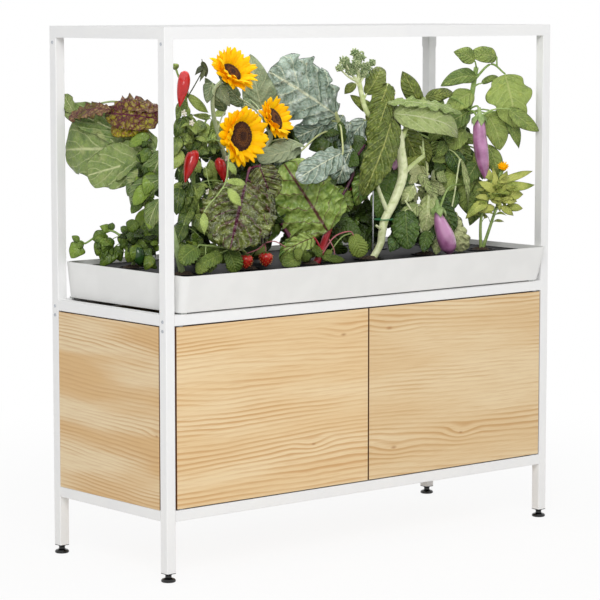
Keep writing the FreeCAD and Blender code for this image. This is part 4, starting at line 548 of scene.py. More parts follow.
def leaf_skin(name, deep, pale, vein, back, count, gloss, relief, stain="#8A9A4A",
              stain_at=(0.62, 0.8), lean=0.3, contrast=0.55, grain=3.4, shine=0.3, net_share=0.35):
    """Leaf: clouded between two greens, paler veins that leave the midrib, fine net in relief.

    The veins number count from base to tip and lean forward. The net's cells are grain across,
    and net_share is how strongly its threads show beside the veins. Stains of one more colour
    come through where slow noise passes stain_at.
    """
    made, tree, shader = new_material(name, Roughness=gloss, Specular_IOR_Level=shine)
    signs = add(tree, "Attribute", {}, take="Color", attribute_name="leaf")
    along, across, tone = (add(tree, "SeparateColor", {0: signs}, take=part) for part in range(3))
    underside = add(tree, "Attribute", {}, take="Alpha", attribute_name="leaf")
    place = add(tree, "TexCoord", {}, take="Object")
    wander = add(tree, "TexNoise", {"Vector": place, "Scale": 0.7 / (grain * MM), "Detail": 2.0},
                 take="Color")
    strayed = add(tree, "VectorMath", {0: wander, 1: [0.6 * grain * MM] * 3, 2: place},
                  operation="MULTIPLY_ADD")
    net = add(tree, "TexVoronoi", {"Vector": strayed, "Scale": 1 / (grain * MM)},
              feature="DISTANCE_TO_EDGE")
    cells = add(tree, "MapRange", {"Value": net, "From Min": 0.0, "From Max": 0.35}, **SMOOTH)
    shade = add(tree, "Math", {0: tone, 1: 0.5, 2: clouds(tree, SHADE_PATCH, detail=4.0)},
                operation="MULTIPLY_ADD")
    # Cell middles are painted paler than their rims: painted light on the raised blisters.
    blister_light = min(0.05 * grain, 0.35)
    light = add(tree, "Math", {0: cells, 1: blister_light, 2: shade}, operation="MULTIPLY_ADD")
    level = add(tree, "MapRange", {"Value": light, "From Min": 0.42, "From Max": 1.0 + blister_light}, **SMOOTH)
    ground = add(tree, "Mix", {0: level, 6: deep, 7: pale}, **COLOURS)
    patch = add(tree, "MapRange", {"Value": clouds(tree, STAIN_PATCH, detail=3.0),
                                   "From Min": stain_at[0], "From Max": stain_at[1]}, **SMOOTH)
    ground = add(tree, "Mix", {0: patch, 6: ground, 7: stain}, **COLOURS)
    middle = add(tree, "Math", {0: across, 1: 0.5}, operation="SUBTRACT")
    aside = add(tree, "Math", {0: middle}, operation="ABSOLUTE")
    forward = add(tree, "Math", {0: aside, 1: -2 * lean, 2: along}, operation="MULTIPLY_ADD")
    bent = add(tree, "Math", {0: clouds(tree, VEIN_WANDER, detail=2.0), 1: 0.09, 2: forward},
               operation="MULTIPLY_ADD")
    turns = add(tree, "Math", {0: bent, 1: count}, operation="MULTIPLY")
    close = add(tree, "Math", {0: turns, 1: 0.5}, operation="PINGPONG")
    side_vein = add(tree, "MapRange", {"Value": close, "From Min": 0.015, "From Max": 0.07,
                                       "To Min": contrast, "To Max": 0.0}, **SMOOTH)
    midrib = add(tree, "MapRange", {"Value": aside, "From Min": 0.006, "From Max": 0.035,
                                    "To Min": contrast * 1.6, "To Max": 0.0}, **SMOOTH)
    threads = add(tree, "MapRange", {"Value": net, "From Min": 0.0, "From Max": 0.12,
                                     "To Min": contrast * net_share, "To Max": 0.0}, **SMOOTH)
    veins = add(tree, "Math", {0: side_vein, 1: midrib}, operation="MAXIMUM")
    veins = add(tree, "Math", {0: veins, 1: threads}, operation="MAXIMUM", use_clamp=True)
    ground = add(tree, "Mix", {0: veins, 6: ground, 7: vein}, **COLOURS)
    below = add(tree, "Math", {0: underside, 1: 0.75}, operation="MULTIPLY")
    ground = add(tree, "Mix", {0: below, 6: ground, 7: back}, **COLOURS)
    swell = add(tree, "MapRange", {"Value": close, "From Min": 0.0, "From Max": 0.4}, **SMOOTH)
    bulge = add(tree, "Math", {0: cells, 1: 0.4, 2: swell}, operation="MULTIPLY_ADD")
    height = add(tree, "Math", {0: clouds(tree, PUCKER, detail=2.0), 1: 1.2, 2: bulge},
                 operation="MULTIPLY_ADD")
    finish_surface(tree, shader, ground, height, relief)
    return made


def soft_skin(name, deep, pale, gloss, grain, relief, end=("#FFFFFF", 2.0, 3.0), **surface):
    """Stem, fruit or petal: two tones in grains of one size, a third towards one end."""
    made, tree, shader = new_material(name, Roughness=gloss, **surface)
    grains = clouds(tree, grain)
    signs = add(tree, "Attribute", {}, take="Color", attribute_name="leaf")
    along, tone = (add(tree, "SeparateColor", {0: signs}, take=part) for part in (0, 2))
    shade = add(tree, "Math", {0: tone, 1: 0.35, 2: grains}, operation="MULTIPLY_ADD")
    level = add(tree, "MapRange", {"Value": shade, "From Min": 0.42, "From Max": 0.92}, **SMOOTH)
    ground = add(tree, "Mix", {0: level, 6: deep, 7: pale}, **COLOURS)
    share = add(tree, "MapRange", {"Value": along, "From Min": end[1], "From Max": end[2]}, **SMOOTH)
    ground = add(tree, "Mix", {0: share, 6: ground, 7: end[0]}, **COLOURS)
    finish_surface(tree, shader, ground, grains, relief)
    return made


# Soil in each planted cup: dark peat with pale specks. It fills the cup, holds the stem and is
# crumbled into a low mound that stands a little over the lid.
peat = soft_skin("peat_and_perlite", "#2B211A", "#5B4A3A", 0.95, 3.0, 1.2)
SOIL_CUPS = {"collard_plant": (0, -1), "pepper_plant": (0, 1), "chili_plant": (1, 1),
             "sunflower_plant": (2, 1), "chard_plants": (2, -1), "strawberry_plants": (1, -1),
             "broccoli_plant": (3, -1), "kale_plant": (4, 1), "leafy_greens": (4, -1),
             "eggplant_plant": (5, 1), "marigold_plant": (5, -1)}
CUP_X = (-357, -214, -71, 71, 214, 357)
CUP_Y = {-1: -77, 1: 72}
SOIL_PROFILE = np.array([(15.2, -37), (17.6, -20), (20.2, -2.6), (19, 1), (15, 3.6), (10.5, 5.6),
                         (6, 6.6), (2, 7)])


def soil(column, row):
    """A plug of soil: a turned profile whose top crumbles by a few millimetres of bumps."""
    wide, level = SOIL_PROFILE[:, :1], SOIL_PROFILE[:, 1:]
    angle = np.linspace(0, TURN, 30, endpoint=False)[None, :]
    crumbs = 1.3 * np.sin(5 * angle + wide) + 0.9 * np.sin(11 * angle + 2 * wide)
    points = np.stack([CUP_X[column] + wide * np.cos(angle), CUP_Y[row] + wide * np.sin(angle),
                       LID_TOP - 2 + level + (level > -1) * crumbs], axis=-1)
    marks = np.zeros((*points.shape[:2], 4))
    marks[..., 2] = 0.4
    return skin(points, marks)


for node, (column, row) in SOIL_CUPS.items():
    make_piece(node + "_soil", node, [soil(column, row)], peat)

# Inner leaves: each plant also carries leaves near its stem that get little light. They are
# painted darker than its other leaves as painted shade, are glossy and hang at all angles, which
# closes the gaps between the leaves in front.
painted_shade_leaf = leaf_skin("painted_shade_inner_leaf", "#1D290E", "#4A6425", "#657835", "#4E5F2D", 6, 0.24, 0.8,
                       "#5A5E23", (0.6, 0.8), contrast=0.3)
INNER = (
    ("collard", "collard_plant", (-388, -10, 690), (20, 30, 60), 20, 36, 22),
    ("pepper", "pepper_plant", (-371, 34, 562), (36, 40, 26), 30, 28, 18),
    ("chili", "chili_plant", (-215, 80, 680), (50, 30, 110), 44, 36, 20),
    ("low_chili", "chili_plant", (-226, 70, 556), (44, 16, 30), 22, 44, 26),
    ("sunflower", "sunflower_plant", (-70, 50, 690), (80, 36, 60), 34, 56, 34),
    ("stem_gap", "sunflower_plant", (-165, 66, 690), (14, 14, 44), 10, 36, 20),
    ("chard", "chard_plants", (-130, 0, 620), (110, 40, 62), 50, 58, 36),
    ("left_chard", "chard_plants", (-110, 16, 552), (56, 24, 26), 22, 48, 30),
    ("low_chard", "chard_plants", (20, -10, 556), (90, 46, 24), 34, 44, 28),
    ("kale", "kale_plant", (100, 30, 690), (60, 40, 70), 40, 52, 32),
    ("low_kale", "kale_plant", (138, 14, 580), (68, 36, 44), 48, 46, 28),
    ("broccoli", "broccoli_plant", (150, -24, 740), (40, 24, 90), 34, 46, 26),
    ("salad", "leafy_greens", (250, -30, 570), (90, 46, 34), 44, 40, 26),
    ("eggplant", "eggplant_plant", (335, 0, 690), (70, 40, 110), 90, 46, 28))
for name, node, middle, reach, count, length, wide in INNER:
    make_piece(name + "_inner_leaves", node,
               leaves_of(thicket(middle, reach, count, length, wide, ("oval", "heart", "cabbage"), 0.6)),
               painted_shade_leaf)

# Collard: broad blue green leaves with a bloom, thick pale stalks, edges in slow scallops. The
# largest reaches back past the rear left post.
collard_leaf = leaf_skin("collard_leaf", "#4C6B30", "#8B9E58", "#C3CA94", "#A0A769", 5, 0.36, 1.5,
                         "#9CA668", (0.5, 0.75), lean=0.45, contrast=0.62, grain=8)
collard_stem = soft_skin("collard_stem", "#8FA968", "#B9C890", 0.5, 8.0, 0.2)
COLLARD_STEMS = [
    (6, 0.9, [(-357, -77, 508), (-372, -70, 580), (-385, -60, 650), (-375, -22, 727)]),
    (4, 0.9, [(-385, -60, 650), (-372, -40, 720), (-370, -30, 772), (-376, -20, 792)])]
COLLARD_LEAVES = [((-372, -18, 728), (-435, 175, 726), 128, 5, "cabbage", 0.7, 0.0),
    ((-373, -8, 715), (-434, 96, 682), 84, 6, "cabbage", 0.8, 0.0),
    ((-360, 12, 732), (-428, 166, 796), 56, 12, "cabbage", 0.4, 0.0),
    ((-428, 146, 790), (-434, 168, 822), 26, 4, "cabbage", 0.9, 0.0),
    ((-394, -30, 692), (-412, 10, 650), 44, 7), ((-390, -60, 730), (-388, 0, 655), 48, 7, "cabbage"),
    ((-395, -70, 685), (-408, 20, 625), 38, 7), ((-410, -80, 650), (-412, -50, 592), 30, 6)]
COLLARD_LEAVES += thicket((-393, -20, 680), (18, 26, 46), 12, 40, 24, ("oval", "cabbage"))
grow("collard", "collard_plant", stems_of(COLLARD_STEMS), COLLARD_LEAVES, collard_leaf,
     collard_stem, 1.8)

# Red chard on the same cup: one long leaf folded along its rib. Its back half stands up to a
# crinkled plum crest, its front shows olive cells between plum veins, a yellow flap hangs below.
red_chard_leaf = leaf_skin("red_chard_leaf", "#5A2024", "#A09034", "#5E1436", "#87705A", 6, 0.22, 2.2,
                           "#A0962C", (0.5, 0.64), contrast=0.95, grain=11, net_share=0.9)
crest_leaf = leaf_skin("red_chard_crest", "#5C282C", "#A08458", "#5E1A38", "#96866E", 5, 0.3, 2.0,
                       "#6E6228", (0.48, 0.62), contrast=0.85, grain=9, net_share=0.8)
yellow_chard_leaf = leaf_skin("yellow_chard_leaf", "#86800C", "#B8AC1E", "#7E1A34", "#A89A34", 5, 0.3, 1.4,
                              "#A5761C", (0.56, 0.7), contrast=0.9, grain=8, net_share=0.7)
CREST_LEAVES = [((-377, -36, 800), (-389, 102, 806), 46, 12, "kale", 0.6, 0.04, (-0.5, -0.55, 0.66)),
    ((-418, 50, 798), (-438, 142, 780), 36, 8, "kale", 0.8, -0.05, (-0.5, -0.6, 0.6))]
RED_LEAVES = [((-381, -40, 784), (-416, 76, 792), 56, 8, "chard", 0.5, 0.0)]
YELLOW_LEAVES = [((-386, -12, 774), (-411, 64, 764), 46, 8, "chard", 0.6, -0.05)]
make_piece("red_chard_crest", "collard_plant", leaves_of(CREST_LEAVES), crest_leaf)
make_piece("red_chard_leaf", "collard_plant", leaves_of(RED_LEAVES), red_chard_leaf)
make_piece("yellow_chard_leaf", "collard_plant", leaves_of(YELLOW_LEAVES), yellow_chard_leaf)

# Pepper: a low bush of small pointed leaves from the rear left cup, with a side stem that leans
# out to the left and one dark green pepper that hangs under the leaves.
pepper_leaf = leaf_skin("pepper_leaf", "#385419", "#829D3B", "#9CA94E", "#83924D", 5, 0.26, 0.5,
                        "#9CA53D", (0.64, 0.8), contrast=0.3)
bush_stem = soft_skin("young_green_stem", "#7E9A4C", "#A6BC70", 0.45, 6.0, 0.15)
PEPPER_STEMS = [
    (4, 0.85, [(-357, 72, 508), (-352, 66, 560), (-345, 58, 602)]),
    (2.4, 0.85, [(-353, 67, 548), (-382, 102, 582), (-412, 138, 558)])]
PEPPER_LEAVES = [((-386, -20, 756), (-410, 10, 736), 22, 6), ((-390, -30, 730), (-404, -4, 712), 24, 6),
    ((-392, -20, 696), (-410, -16, 660), 24, 6), ((-396, -40, 694), (-414, -44, 654), 26, 6),
    ((-402, -40, 670), (-424, -24, 636), 28, 6), ((-410, -60, 644), (-414, -56, 596), 24, 4),
    ((-398, -10, 646), (-412, 0, 620), 20, 4), ((-418, 140, 554), (-432, 154, 532), 30, 6, "heart"),
    ((-422, 140, 564), (-432, 150, 572), 12, 2), ((-414, 138, 558), (-430, 150, 554), 16, 4),
    ((-382, 104, 580), (-396, 116, 590), 16, 4, "lance"),
    ((-380, 100, 582), (-376, 104, 596), 14, 4, "lance"), ((-390, 104, 576), (-410, 118, 566), 26, 6),
    ((-392, 108, 568), (-402, 118, 536), 22, 6), ((-382, 98, 566), (-398, 110, 526), 24, 6),
    ((-376, 96, 554), (-366, 92, 526), 22, 6, "heart"), ((-370, 92, 576), (-354, 90, 554), 18, 4),
    ((-374, 92, 548), (-406, 104, 518), 26, 6, "heart"), ((-364, 70, 580), (-374, 84, 590), 16, 4, "lance"),
    ((-360, 50, 600), (-370, 66, 582), 26, 6), ((-360, 40, 592), (-346, 30, 568), 30, 7),
    ((-362, 60, 574), (-376, 70, 550), 28, 6), ((-358, 30, 580), (-346, 20, 548), 32, 7),
    ((-360, 44, 568), (-376, 60, 528), 32, 6), ((-366, 16, 560), (-380, 20, 524), 30, 6),
    ((-368, 0, 544), (-382, 0, 520), 22, 4), ((-378, 4, 534), (-358, -4, 520), 16, 4, "heart"),
    ((-366, 48, 550), (-350, 30, 530), 34, 6), ((-340, 45, 622), (-362, 58, 572), 32, 7),
    ((-335, 40, 610), (-345, 20, 556), 34, 7)]
PEPPER_LEAVES += thicket((-371, 36, 562), (34, 38, 24), 26, 26, 17, ("oval", "heart"))
PEPPER_LEAVES += thicket((-396, 100, 556), (14, 20, 24), 12, 24, 16, ("oval", "heart"))
PEPPER_LEAVES += thicket((-393, -24, 668), (16, 22, 62), 16, 26, 15, ("oval", "lance"))
PEPPER_LEAVES += thicket((-290, -10, 552), (36, 30, 20), 16, 28, 18, ("oval", "heart"))
grow("pepper", "pepper_plant", stems_of(PEPPER_STEMS), PEPPER_LEAVES, pepper_leaf,
     bush_stem, 0.9, PEPPER_LEAVES[7:30])
green_pepper = soft_skin("green_pepper", "#1E3A18", "#2F5222", 0.14, 9.0, 0.1)
make_piece("pepper_fruit", "pepper_plant",
           [tube([(-386, 17, 562, 3), (-386, 17, 556, 9), (-385, 15, 545, 11), (-384, 14, 533, 8),
                  (-384, 14, 527, 2)], around=16, step=2)], green_pepper)

# Chili: a tall thin plant of pointed glossy leaves, three ripe pods and a few pale flowers. One
# long bare shoot trails forward and down at the left, another has wilted near the top.
chili_leaf = leaf_skin("chili_leaf", "#324E1A", "#B4C86C", "#AEBD5C", "#8E9D52", 6, 0.22, 0.45,
                       "#A3AB40", (0.66, 0.82), contrast=0.3)
CHILI_STEMS = [
    (4.6, 0.85, [(-214, 72, 508), (-235, 52, 600), (-240, 45, 690), (-250, 42, 765), (-262, 38, 815),
        (-274, 38, 846), (-280, 42, 866)]),
    (2.4, 0.85, [(-240, 45, 690), (-222, 52, 730), (-205, 56, 768), (-190, 60, 782)]),
    (2.0, 0.8, [(-236, 50, 640), (-262, 38, 668), (-284, 32, 690)]),
    (2.0, 0.8, [(-232, 55, 590), (-270, 20, 608), (-300, 2, 585)]),
    (1.7, 0.9, [(-222, 52, 730), (-212, 20, 741), (-244, -60, 727), (-284, -110, 709), (-313, -140, 679),
        (-335, -147, 659), (-355, -147, 642), (-366, -146, 629)])]
CHILI_LEAVES = [((-313, -140, 679), (-271, -148, 672), 14, 5, "lance", 0.8, 0.0),
    ((-313, -146, 667), (-290, -153, 636), 19, 5, "lance", 0.8, 0.0),
    ((-366, -146, 628), (-369, -151, 590), 15, 5, "lance", 1.0, 0.0),
    ((-284, -110, 709), (-272, -118, 686), 14, 4, "lance", 0.6, 0.0),
    ((-256, 42, 818), (-286, 30, 840), 14, 4, "lance"), ((-260, 40, 812), (-288, 30, 772), 18, 4, "lance"),
    ((-256, 40, 822), (-216, 30, 788), 18, 6, "lance"), ((-262, 44, 804), (-250, 40, 784), 14, 4, "lance"),
    ((-262, 44, 780), (-284, 40, 748), 24, 6), ((-256, 42, 784), (-250, 36, 754), 20, 4),
    ((-190, 60, 778), (-232, 60, 784), 13, 4, "lance"), ((-182, 60, 780), (-146, 70, 792), 16, 4, "lance"),
    ((-206, 56, 770), (-258, 40, 750), 24, 6), ((-200, 56, 768), (-222, 50, 734), 20, 4),
    ((-186, 60, 774), (-156, 70, 736), 22, 6), ((-208, 50, 754), (-218, 44, 716), 22, 4),
    ((-186, 56, 752), (-172, 60, 714), 20, 6), ((-226, 44, 740), (-252, 36, 718), 16, 4, "lance"),
    ((-214, 44, 728), (-242, 36, 706), 16, 4, "lance"), ((-274, 44, 748), (-292, 36, 712), 24, 4),
    ((-272, 42, 724), (-294, 32, 690), 22, 4), ((-262, 38, 710), (-282, 30, 662), 22, 6, "oval", 0.0, 0.0),
    ((-252, 36, 708), (-236, 30, 682), 20, 4), ((-202, 44, 704), (-184, 50, 654), 20, 6, "lance"),
    ((-218, 42, 690), (-200, 40, 666), 16, 4, "lance"),
    ((-280, 32, 660), (-296, 22, 610), 26, 6, "oval", 0.0, 0.0),
    ((-260, 30, 664), (-280, 24, 612), 24, 4, "oval", 0.0, 0.0),
    ((-240, 28, 658), (-258, 18, 618), 18, 4, "lance"), ((-238, 20, 628), (-248, 6, 584), 14, 4, "lance"),
    ((-260, 25, 625), (-302, 5, 578), 28, 6, "oval", 0.0, 0.0),
    ((-284, 12, 598), (-324, -8, 556), 28, 6, "oval", 0.0, 0.0), ((-256, 18, 610), (-246, 0, 574), 24, 4),
    ((-298, 0, 568), (-332, -20, 540), 26, 6, "oval", 0.0, 0.0),
    ((-262, 0, 572), (-298, -16, 542), 24, 6, "oval", 0.0, 0.0), ((-240, 4, 588), (-232, -10, 556), 20, 4),
    ((-278, 42, 866), (-286, 44, 876), 12, 2)]
chili_stems = stems_of(CHILI_STEMS)
CHILI_LEAVES += shoots([(-232, 56, 600), (-238, 46, 690), (-250, 42, 765)], 16, 34, 17, 4, "oval")
CHILI_LEAVES += thicket((-258, 36, 755), (18, 20, 44), 16, 28, 14, ("lance", "oval"))
CHILI_LEAVES += thicket((-193, 48, 735), (22, 18, 40), 20, 28, 14, ("lance", "oval"))
CHILI_LEAVES += thicket((-268, 26, 630), (24, 20, 50), 24, 34, 17, ("oval", "lance"))
CHILI_LEAVES += thicket((-198, 34, 650), (20, 16, 36), 12, 28, 12, ("lance",))
grow("chili", "chili_plant", chili_stems, CHILI_LEAVES, chili_leaf, bush_stem, 0.8)
chili_red = soft_skin("ripe_red_pepper", "#AE1418", "#CE2626", 0.1, 9.0, 0.12, Specular_IOR_Level=0.5)
CHILI_FRUITS = [
    [(-274, 25, 864, 2), (-274, 25, 860, 7.5), (-275, 25, 848, 11), (-279, 24, 832, 10.5),
        (-285, 22, 815, 6.5), (-289, 20, 801, 1)],
    [(-272, 4, 724, 2.5), (-272, 3, 719, 10), (-278, 2, 706, 12), (-286, 0, 690, 8.5),
        (-295, -2, 669, 1.5)],
    [(-202, 20, 708, 1.5), (-201, 20, 703, 8), (-198, 19, 692, 10), (-195, 17, 679, 7),
        (-193, 16, 664, 1.5)]]
make_piece("chili_fruit", "chili_plant", [tube(row, around=16, step=2) for row in CHILI_FRUITS], chili_red)

wilted = soft_skin("wilted_dark_leaf", "#2E3A1E", "#59623A", 0.6, 4.0, 0.5)
make_piece("chili_wilted_shoot", "chili_plant", [
    tube([(-262, 38, 812, 1.3), (-246, 32, 838, 1.2), (-232, 27, 866, 1.0), (-236, 24, 884, 0.8)],
         around=6),
    leaf((-232, 27, 872), (-252, 24, 856), 10, 3, "lance"), leaf((-234, 26, 880), (-230, 20, 852), 12, -3),
    leaf((-230, 26, 868), (-244, 20, 846), 9, 3, "lance")], wilted)
make_piece("chili_tendrils", "chili_plant", [
    tube([(-174, 30, 712, 1.2), (-170, 22, 674, 1.2), (-196, 14, 646, 1.1), (-222, 10, 646, 1.0),
          (-232, 12, 668, 0.9), (-230, 22, 694, 0.9)], around=6),
    tube([(-180, 20, 700, 1.1), (-186, 14, 672, 1.0), (-204, 4, 655, 0.9)], around=6)], bush_stem)
blossom = soft_skin("pale_blossom", "#E9E4CE", "#FBF8EC", 0.5, 4.0, 0.1)
BLOSSOMS = ((-184, 18, 706), (-281, 20, 790), (-247, -5, 650), (-262, 22, 772))
make_piece("chili_blossoms", "chili_plant", [
    leaf((x, y, z), (x + 6.5 * math.cos(turn), y - 2, z + 6.5 * math.sin(turn)), 4.5, 1, "petal")
    for x, y, z in BLOSSOMS for turn in np.arange(5) * TURN / 5], blossom)

# Sunflowers: three heads on hairy stems, each with two rings of petals round a domed disc that is
# set with florets along golden spirals, and a collar of bracts behind.
sunflower_leaf = leaf_skin("sunflower_leaf", "#5C7650", "#A3B08C", "#C9CEA2", "#9DA578", 6, 0.42, 1.2,
                           contrast=0.4, grain=5)
hairy_stem = soft_skin("hairy_pale_stem", "#A7B986", "#C9D3AE", 0.7, 2.0, 0.4)
# The petals are given a faint yellow glow, painted light that stands in for light shining through them.
petal_yellow_glow = soft_skin("sunflower_petal", "#F6B600", "#FBCC00", 0.6, 7.0, 0.25, ("#E88C00", 0.25, 0.0),
                         Specular_IOR_Level=0.15, Emission_Color=linear("#FFB000"), Emission_Strength=0.1)
disc_brown = soft_skin("sunflower_disc", "#2A100E", "#7A4A1E", 0.85, 2.4, 0.3)
bract_green = leaf_skin("sunflower_bract", "#768B3B", "#98A853", "#B3BC6B", "#9CA65F", 3, 0.55, 0.3)
SUNFLOWER_STEMS = [
    (5.8, 0.88, [(-71, 72, 508), (-110, 62, 600), (-166, 40, 693), (-212, 20, 779), (-224, 6, 826),
        (-212, -2, 846)]),
    (5, 0.9, [(-110, 62, 600), (-110, 30, 700), (-160, 6, 740), (-206, -24, 747)]),
    (4.5, 0.9, [(-110, 30, 700), (-84, 18, 736), (-100, 10, 766)])]
SUNFLOWER_LEAVES = [((-60, 70, 790), (-72, 90, 890), 62, 9, "heart"),
    ((-138, 40, 812), (-178, 36, 842), 26, 4), ((-98, 60, 808), (-122, 50, 792), 22, 4),
    ((-90, 60, 695), (0, 60, 715), 36, 6), ((-170, 40, 790), (-212, 45, 850), 26, 4),
    ((-124, 44, 802), (-182, 40, 820), 20, 4), ((-220, 14, 842), (-236, 10, 806), 26, 4, "heart"),
    ((-214, 10, 840), (-192, 0, 800), 26, 4, "heart")]
SUNFLOWER_LEAVES += [((-20, 8, 718), (-132, -2, 702), 40, 10, "cabbage", 1.0, 0.0),
    ((-14, 8, 724), (-70, 6, 706), 30, 12, "oval", 0.9, 0.0, (-0.3, -0.4, 0.9))]
SUNFLOWER_LEAVES += thicket((-120, 50, 700), (50, 26, 50), 14, 56, 34, ("heart", "oval"))
HEADS = (((-198, 8, 846), (-196, -7, 858), 44, 0.42, 0.3),
         ((-207, -26, 748), (-205, -43, 749), 51, 0.52, 0.12),
         ((-98, 14, 766), (-92, 0, 773), 41, 0.5, 0.1))


def flower(back, front, radius, disc, cupped, petals=26):
    """Petals, disc florets, their bed and bracts of one head that faces from back towards front.

    The disc's radius is a share of the head's, and cupped is how far the petals lean forward.
    """
    back = np.array(back, float)
    front = np.array(front, float)
    face = (front - back) / np.linalg.norm(front - back)
    aside = np.cross(face, STEEP_WAY)
    aside /= np.linalg.norm(aside)
    upright = np.cross(face, aside)
    rings = []
    for ring, (share, lift) in enumerate(((1.0, 0.12 + cupped / 2), (0.88, 0.32 + cupped))):
        for index in range(petals):
            angle = TURN * (index + 0.5 * ring) / petals + dice.uniform(-0.08, 0.08)
            out = math.cos(angle) * aside + math.sin(angle) * upright
            start = front + out * radius * disc * 0.85 - face * 2
            reach = radius * share * dice.uniform(0.9, 1.08)
            end = front + out * reach + face * radius * (lift + dice.uniform(-0.14, 0.16))
            rings.append(leaf(start, end, radius * 0.37, 0.06 * radius, "petal",
                              facing=face + out * 0.2))
    florets = []
    for index in range(int(90 + radius * 3)):
        share = math.sqrt((index + 0.5) / (90 + radius * 3))
        out = math.cos(GOLDEN * index) * aside + math.sin(GOLDEN * index) * upright
        dome = 0.16 * (1 - share ** 2) + 0.04 * (share > 0.6)
        tone = 0.9 * math.exp(-((share - 0.48) / 0.17) ** 2) + 0.1 * dice.uniform()
        florets.append(bead(front + out * radius * disc * share + face * radius * dome,
                            1.7 + 0.5 * (share > 0.62), 1.8, face, tone))
    bed = [tube([(*(back + face), radius * 0.2), (*(front - face * 2), radius * disc),
                 (*(front + face * radius * 0.02), radius * disc * 0.98),
                 (*(front + face * radius * 0.12), radius * 0.2)], around=24, step=2)]
    bracts = []
    for index in range(16):
        angle = TURN * index / 16 + dice.uniform(-0.1, 0.1)
        out = math.cos(angle) * aside + math.sin(angle) * upright
        bracts.append(leaf(back + out * radius * 0.2, front + out * radius * 0.72 - face * 3,
                           radius * 0.26, -0.05 * radius, "lance", facing=-face + out * 0.5))
    return rings, florets, bed, bracts


petals, florets, beds, bracts = (sum(parts, []) for parts in zip(*[flower(*head) for head in HEADS]))
grow("sunflower", "sunflower_plant", stems_of(SUNFLOWER_STEMS), SUNFLOWER_LEAVES, sunflower_leaf,
     hairy_stem, 1.3)
make_piece("sunflower_petals", "sunflower_plant", petals, petal_yellow_glow)
make_piece("sunflower_discs", "sunflower_plant", beds + florets, disc_brown)
make_piece("sunflower_bracts", "sunflower_plant", bracts, bract_green)

# Chard: two plants in front. The left one is nearly black green with magenta ribs, the right one
# mid green on a red stalk. Both leaves are blistered between their veins and shine.
dark_chard_leaf = leaf_skin("dark_chard_leaf", "#2A3410", "#98A44E", "#5E1E3A", "#524A30", 6, 0.1, 6.0,
                            "#5E4A2A", (0.58, 0.7), contrast=0.8, grain=21, shine=1.0, net_share=0.15)
green_chard_leaf = leaf_skin("green_chard_leaf", "#567E26", "#ACC464", "#664036", "#87974A", 5, 0.18, 2.8,
                             "#B0BE78", (0.6, 0.8), contrast=0.7, grain=18, shine=0.5, net_share=0.12)
red_stalk = soft_skin("red_chard_stalk", "#9A1426", "#C02C3C", 0.35, 7.0, 0.15)
# The dark plant's stalks are plum, partly their own colour beside the magenta ribs and partly painted
# shade, darker than the red stalks.
plum_and_shade_stalk = soft_skin("plum_shaded_chard_stalk", "#44102A", "#74204A", 0.35, 7.0, 0.15)
DARK_LEAVES = [((-236, -100, 672), (-302, -138, 563), 132, 10, "chard", 0.6, 0.0),
    ((-186, -76, 696), (-178, -100, 640), 58, 7, "chard", 0.7, 0.0),
    ((-214, -90, 664), (-226, -132, 566), 66, 9, "chard", 0.3, 0.0)]
GREEN_LEAVES = [((-15, -62, 571), (-100, -40, 696), 136, 10, "chard", 0.8, 0.0),
    ((-30, 20, 690), (-122, -20, 566), 62, 8, "chard", 0.2, 0.0),
    ((124, -10, 671), (90, -20, 611), 40, 8, "oval", 0.1, 0.0),
    ((60, 14, 640), (92, -4, 600), 50, 6, "chard", 0.6, 0.0),
    ((110, 35, 622), (196, 55, 702), 50, 7, "chard"),
    ((-52, -66, 562), (-124, -78, 546), 38, 8, "cabbage", 1.0, 0.0),
    ((115, 20, 592), (80, 0, 542), 34, 6, "chard"), ((-80, -50, 560), (-138, -72, 528), 34, 6)]
DARK_STEMS = [
    (4.4, 0.85, [(-71, -77, 508), (-82, -40, 560), (-120, -20, 620), (-180, -50, 684), (-222, -92, 694),
        (-234, -99, 676)]),
    (3.4, 0.9, [(-71, -77, 508), (-90, -36, 570), (-130, -30, 640), (-178, -66, 698)]),
    (3.6, 0.9, [(71, 72, 508), (64, 10, 600), (94, -4, 662), (99, -6, 692), (123, -8, 721)])]
GREEN_STEMS = [
    (7, 0.97, [(-62, -77, 508), (-46, -76, 530), (-16, -56, 556), (15, -36, 584), (33, -24, 604)]),
    (4, 0.85, [(71, 72, 508), (92, 30, 590), (112, 34, 618)])]
dark_stems, dark_bends = stems_of(DARK_STEMS)
green_stems, green_bends = stems_of(GREEN_STEMS)
make_piece("dark_chard_leaves", "chard_plants", leaves_of(DARK_LEAVES), dark_chard_leaf)
make_piece("green_chard_leaves", "chard_plants", leaves_of(GREEN_LEAVES), green_chard_leaf)
make_piece("dark_chard_stalks", "chard_plants", dark_stems + stalks_to(dark_bends, DARK_LEAVES, 1.6),
           plum_and_shade_stalk)
make_piece("green_chard_stalks", "chard_plants",
           green_stems + stalks_to(green_bends, GREEN_LEAVES[1:], 2.0), red_stalk)

# Strawberries: leaves with saw teeth low over the lids, pink runners, and two berries whose pale
# seeds sit in the red skin under a leafy cap.
strawberry_leaf = leaf_skin("strawberry_leaf", "#4B6625", "#8A9D46", "#9FAB5A", "#9CA265", 8, 0.4, 1.0,
                            contrast=0.35, grain=5)
berry_red = soft_skin("strawberry_red", "#BE1F1B", "#DA3A2E", 0.22, 4.0, 0.5, ("#E8A878", 0.1, 0.0))
seed_yellow = soft_skin("strawberry_seed", "#C4682C", "#DB9A4C", 0.4, 1.0, 0.05)
runner_pink = soft_skin("pink_runner", "#B8606A", "#CF8A8C", 0.45, 6.0, 0.1)
STRAWBERRY_STEMS = [
    (3, 0.8, [(-214, -77, 508), (-228, -86, 548), (-282, -98, 560), (-340, -99, 568)]),
    (1.6, 0.9, [(-222, -82, 530), (-262, -100, 556), (-296, -102, 552)]),
    (1.4, 0.9, [(-36, -77, 520), (-6, -88, 560), (16, -95, 568)]),
    (3.4, 0.7, [(-36, -77, 517), (-36, -78, 530), (-40, -80, 538)])]
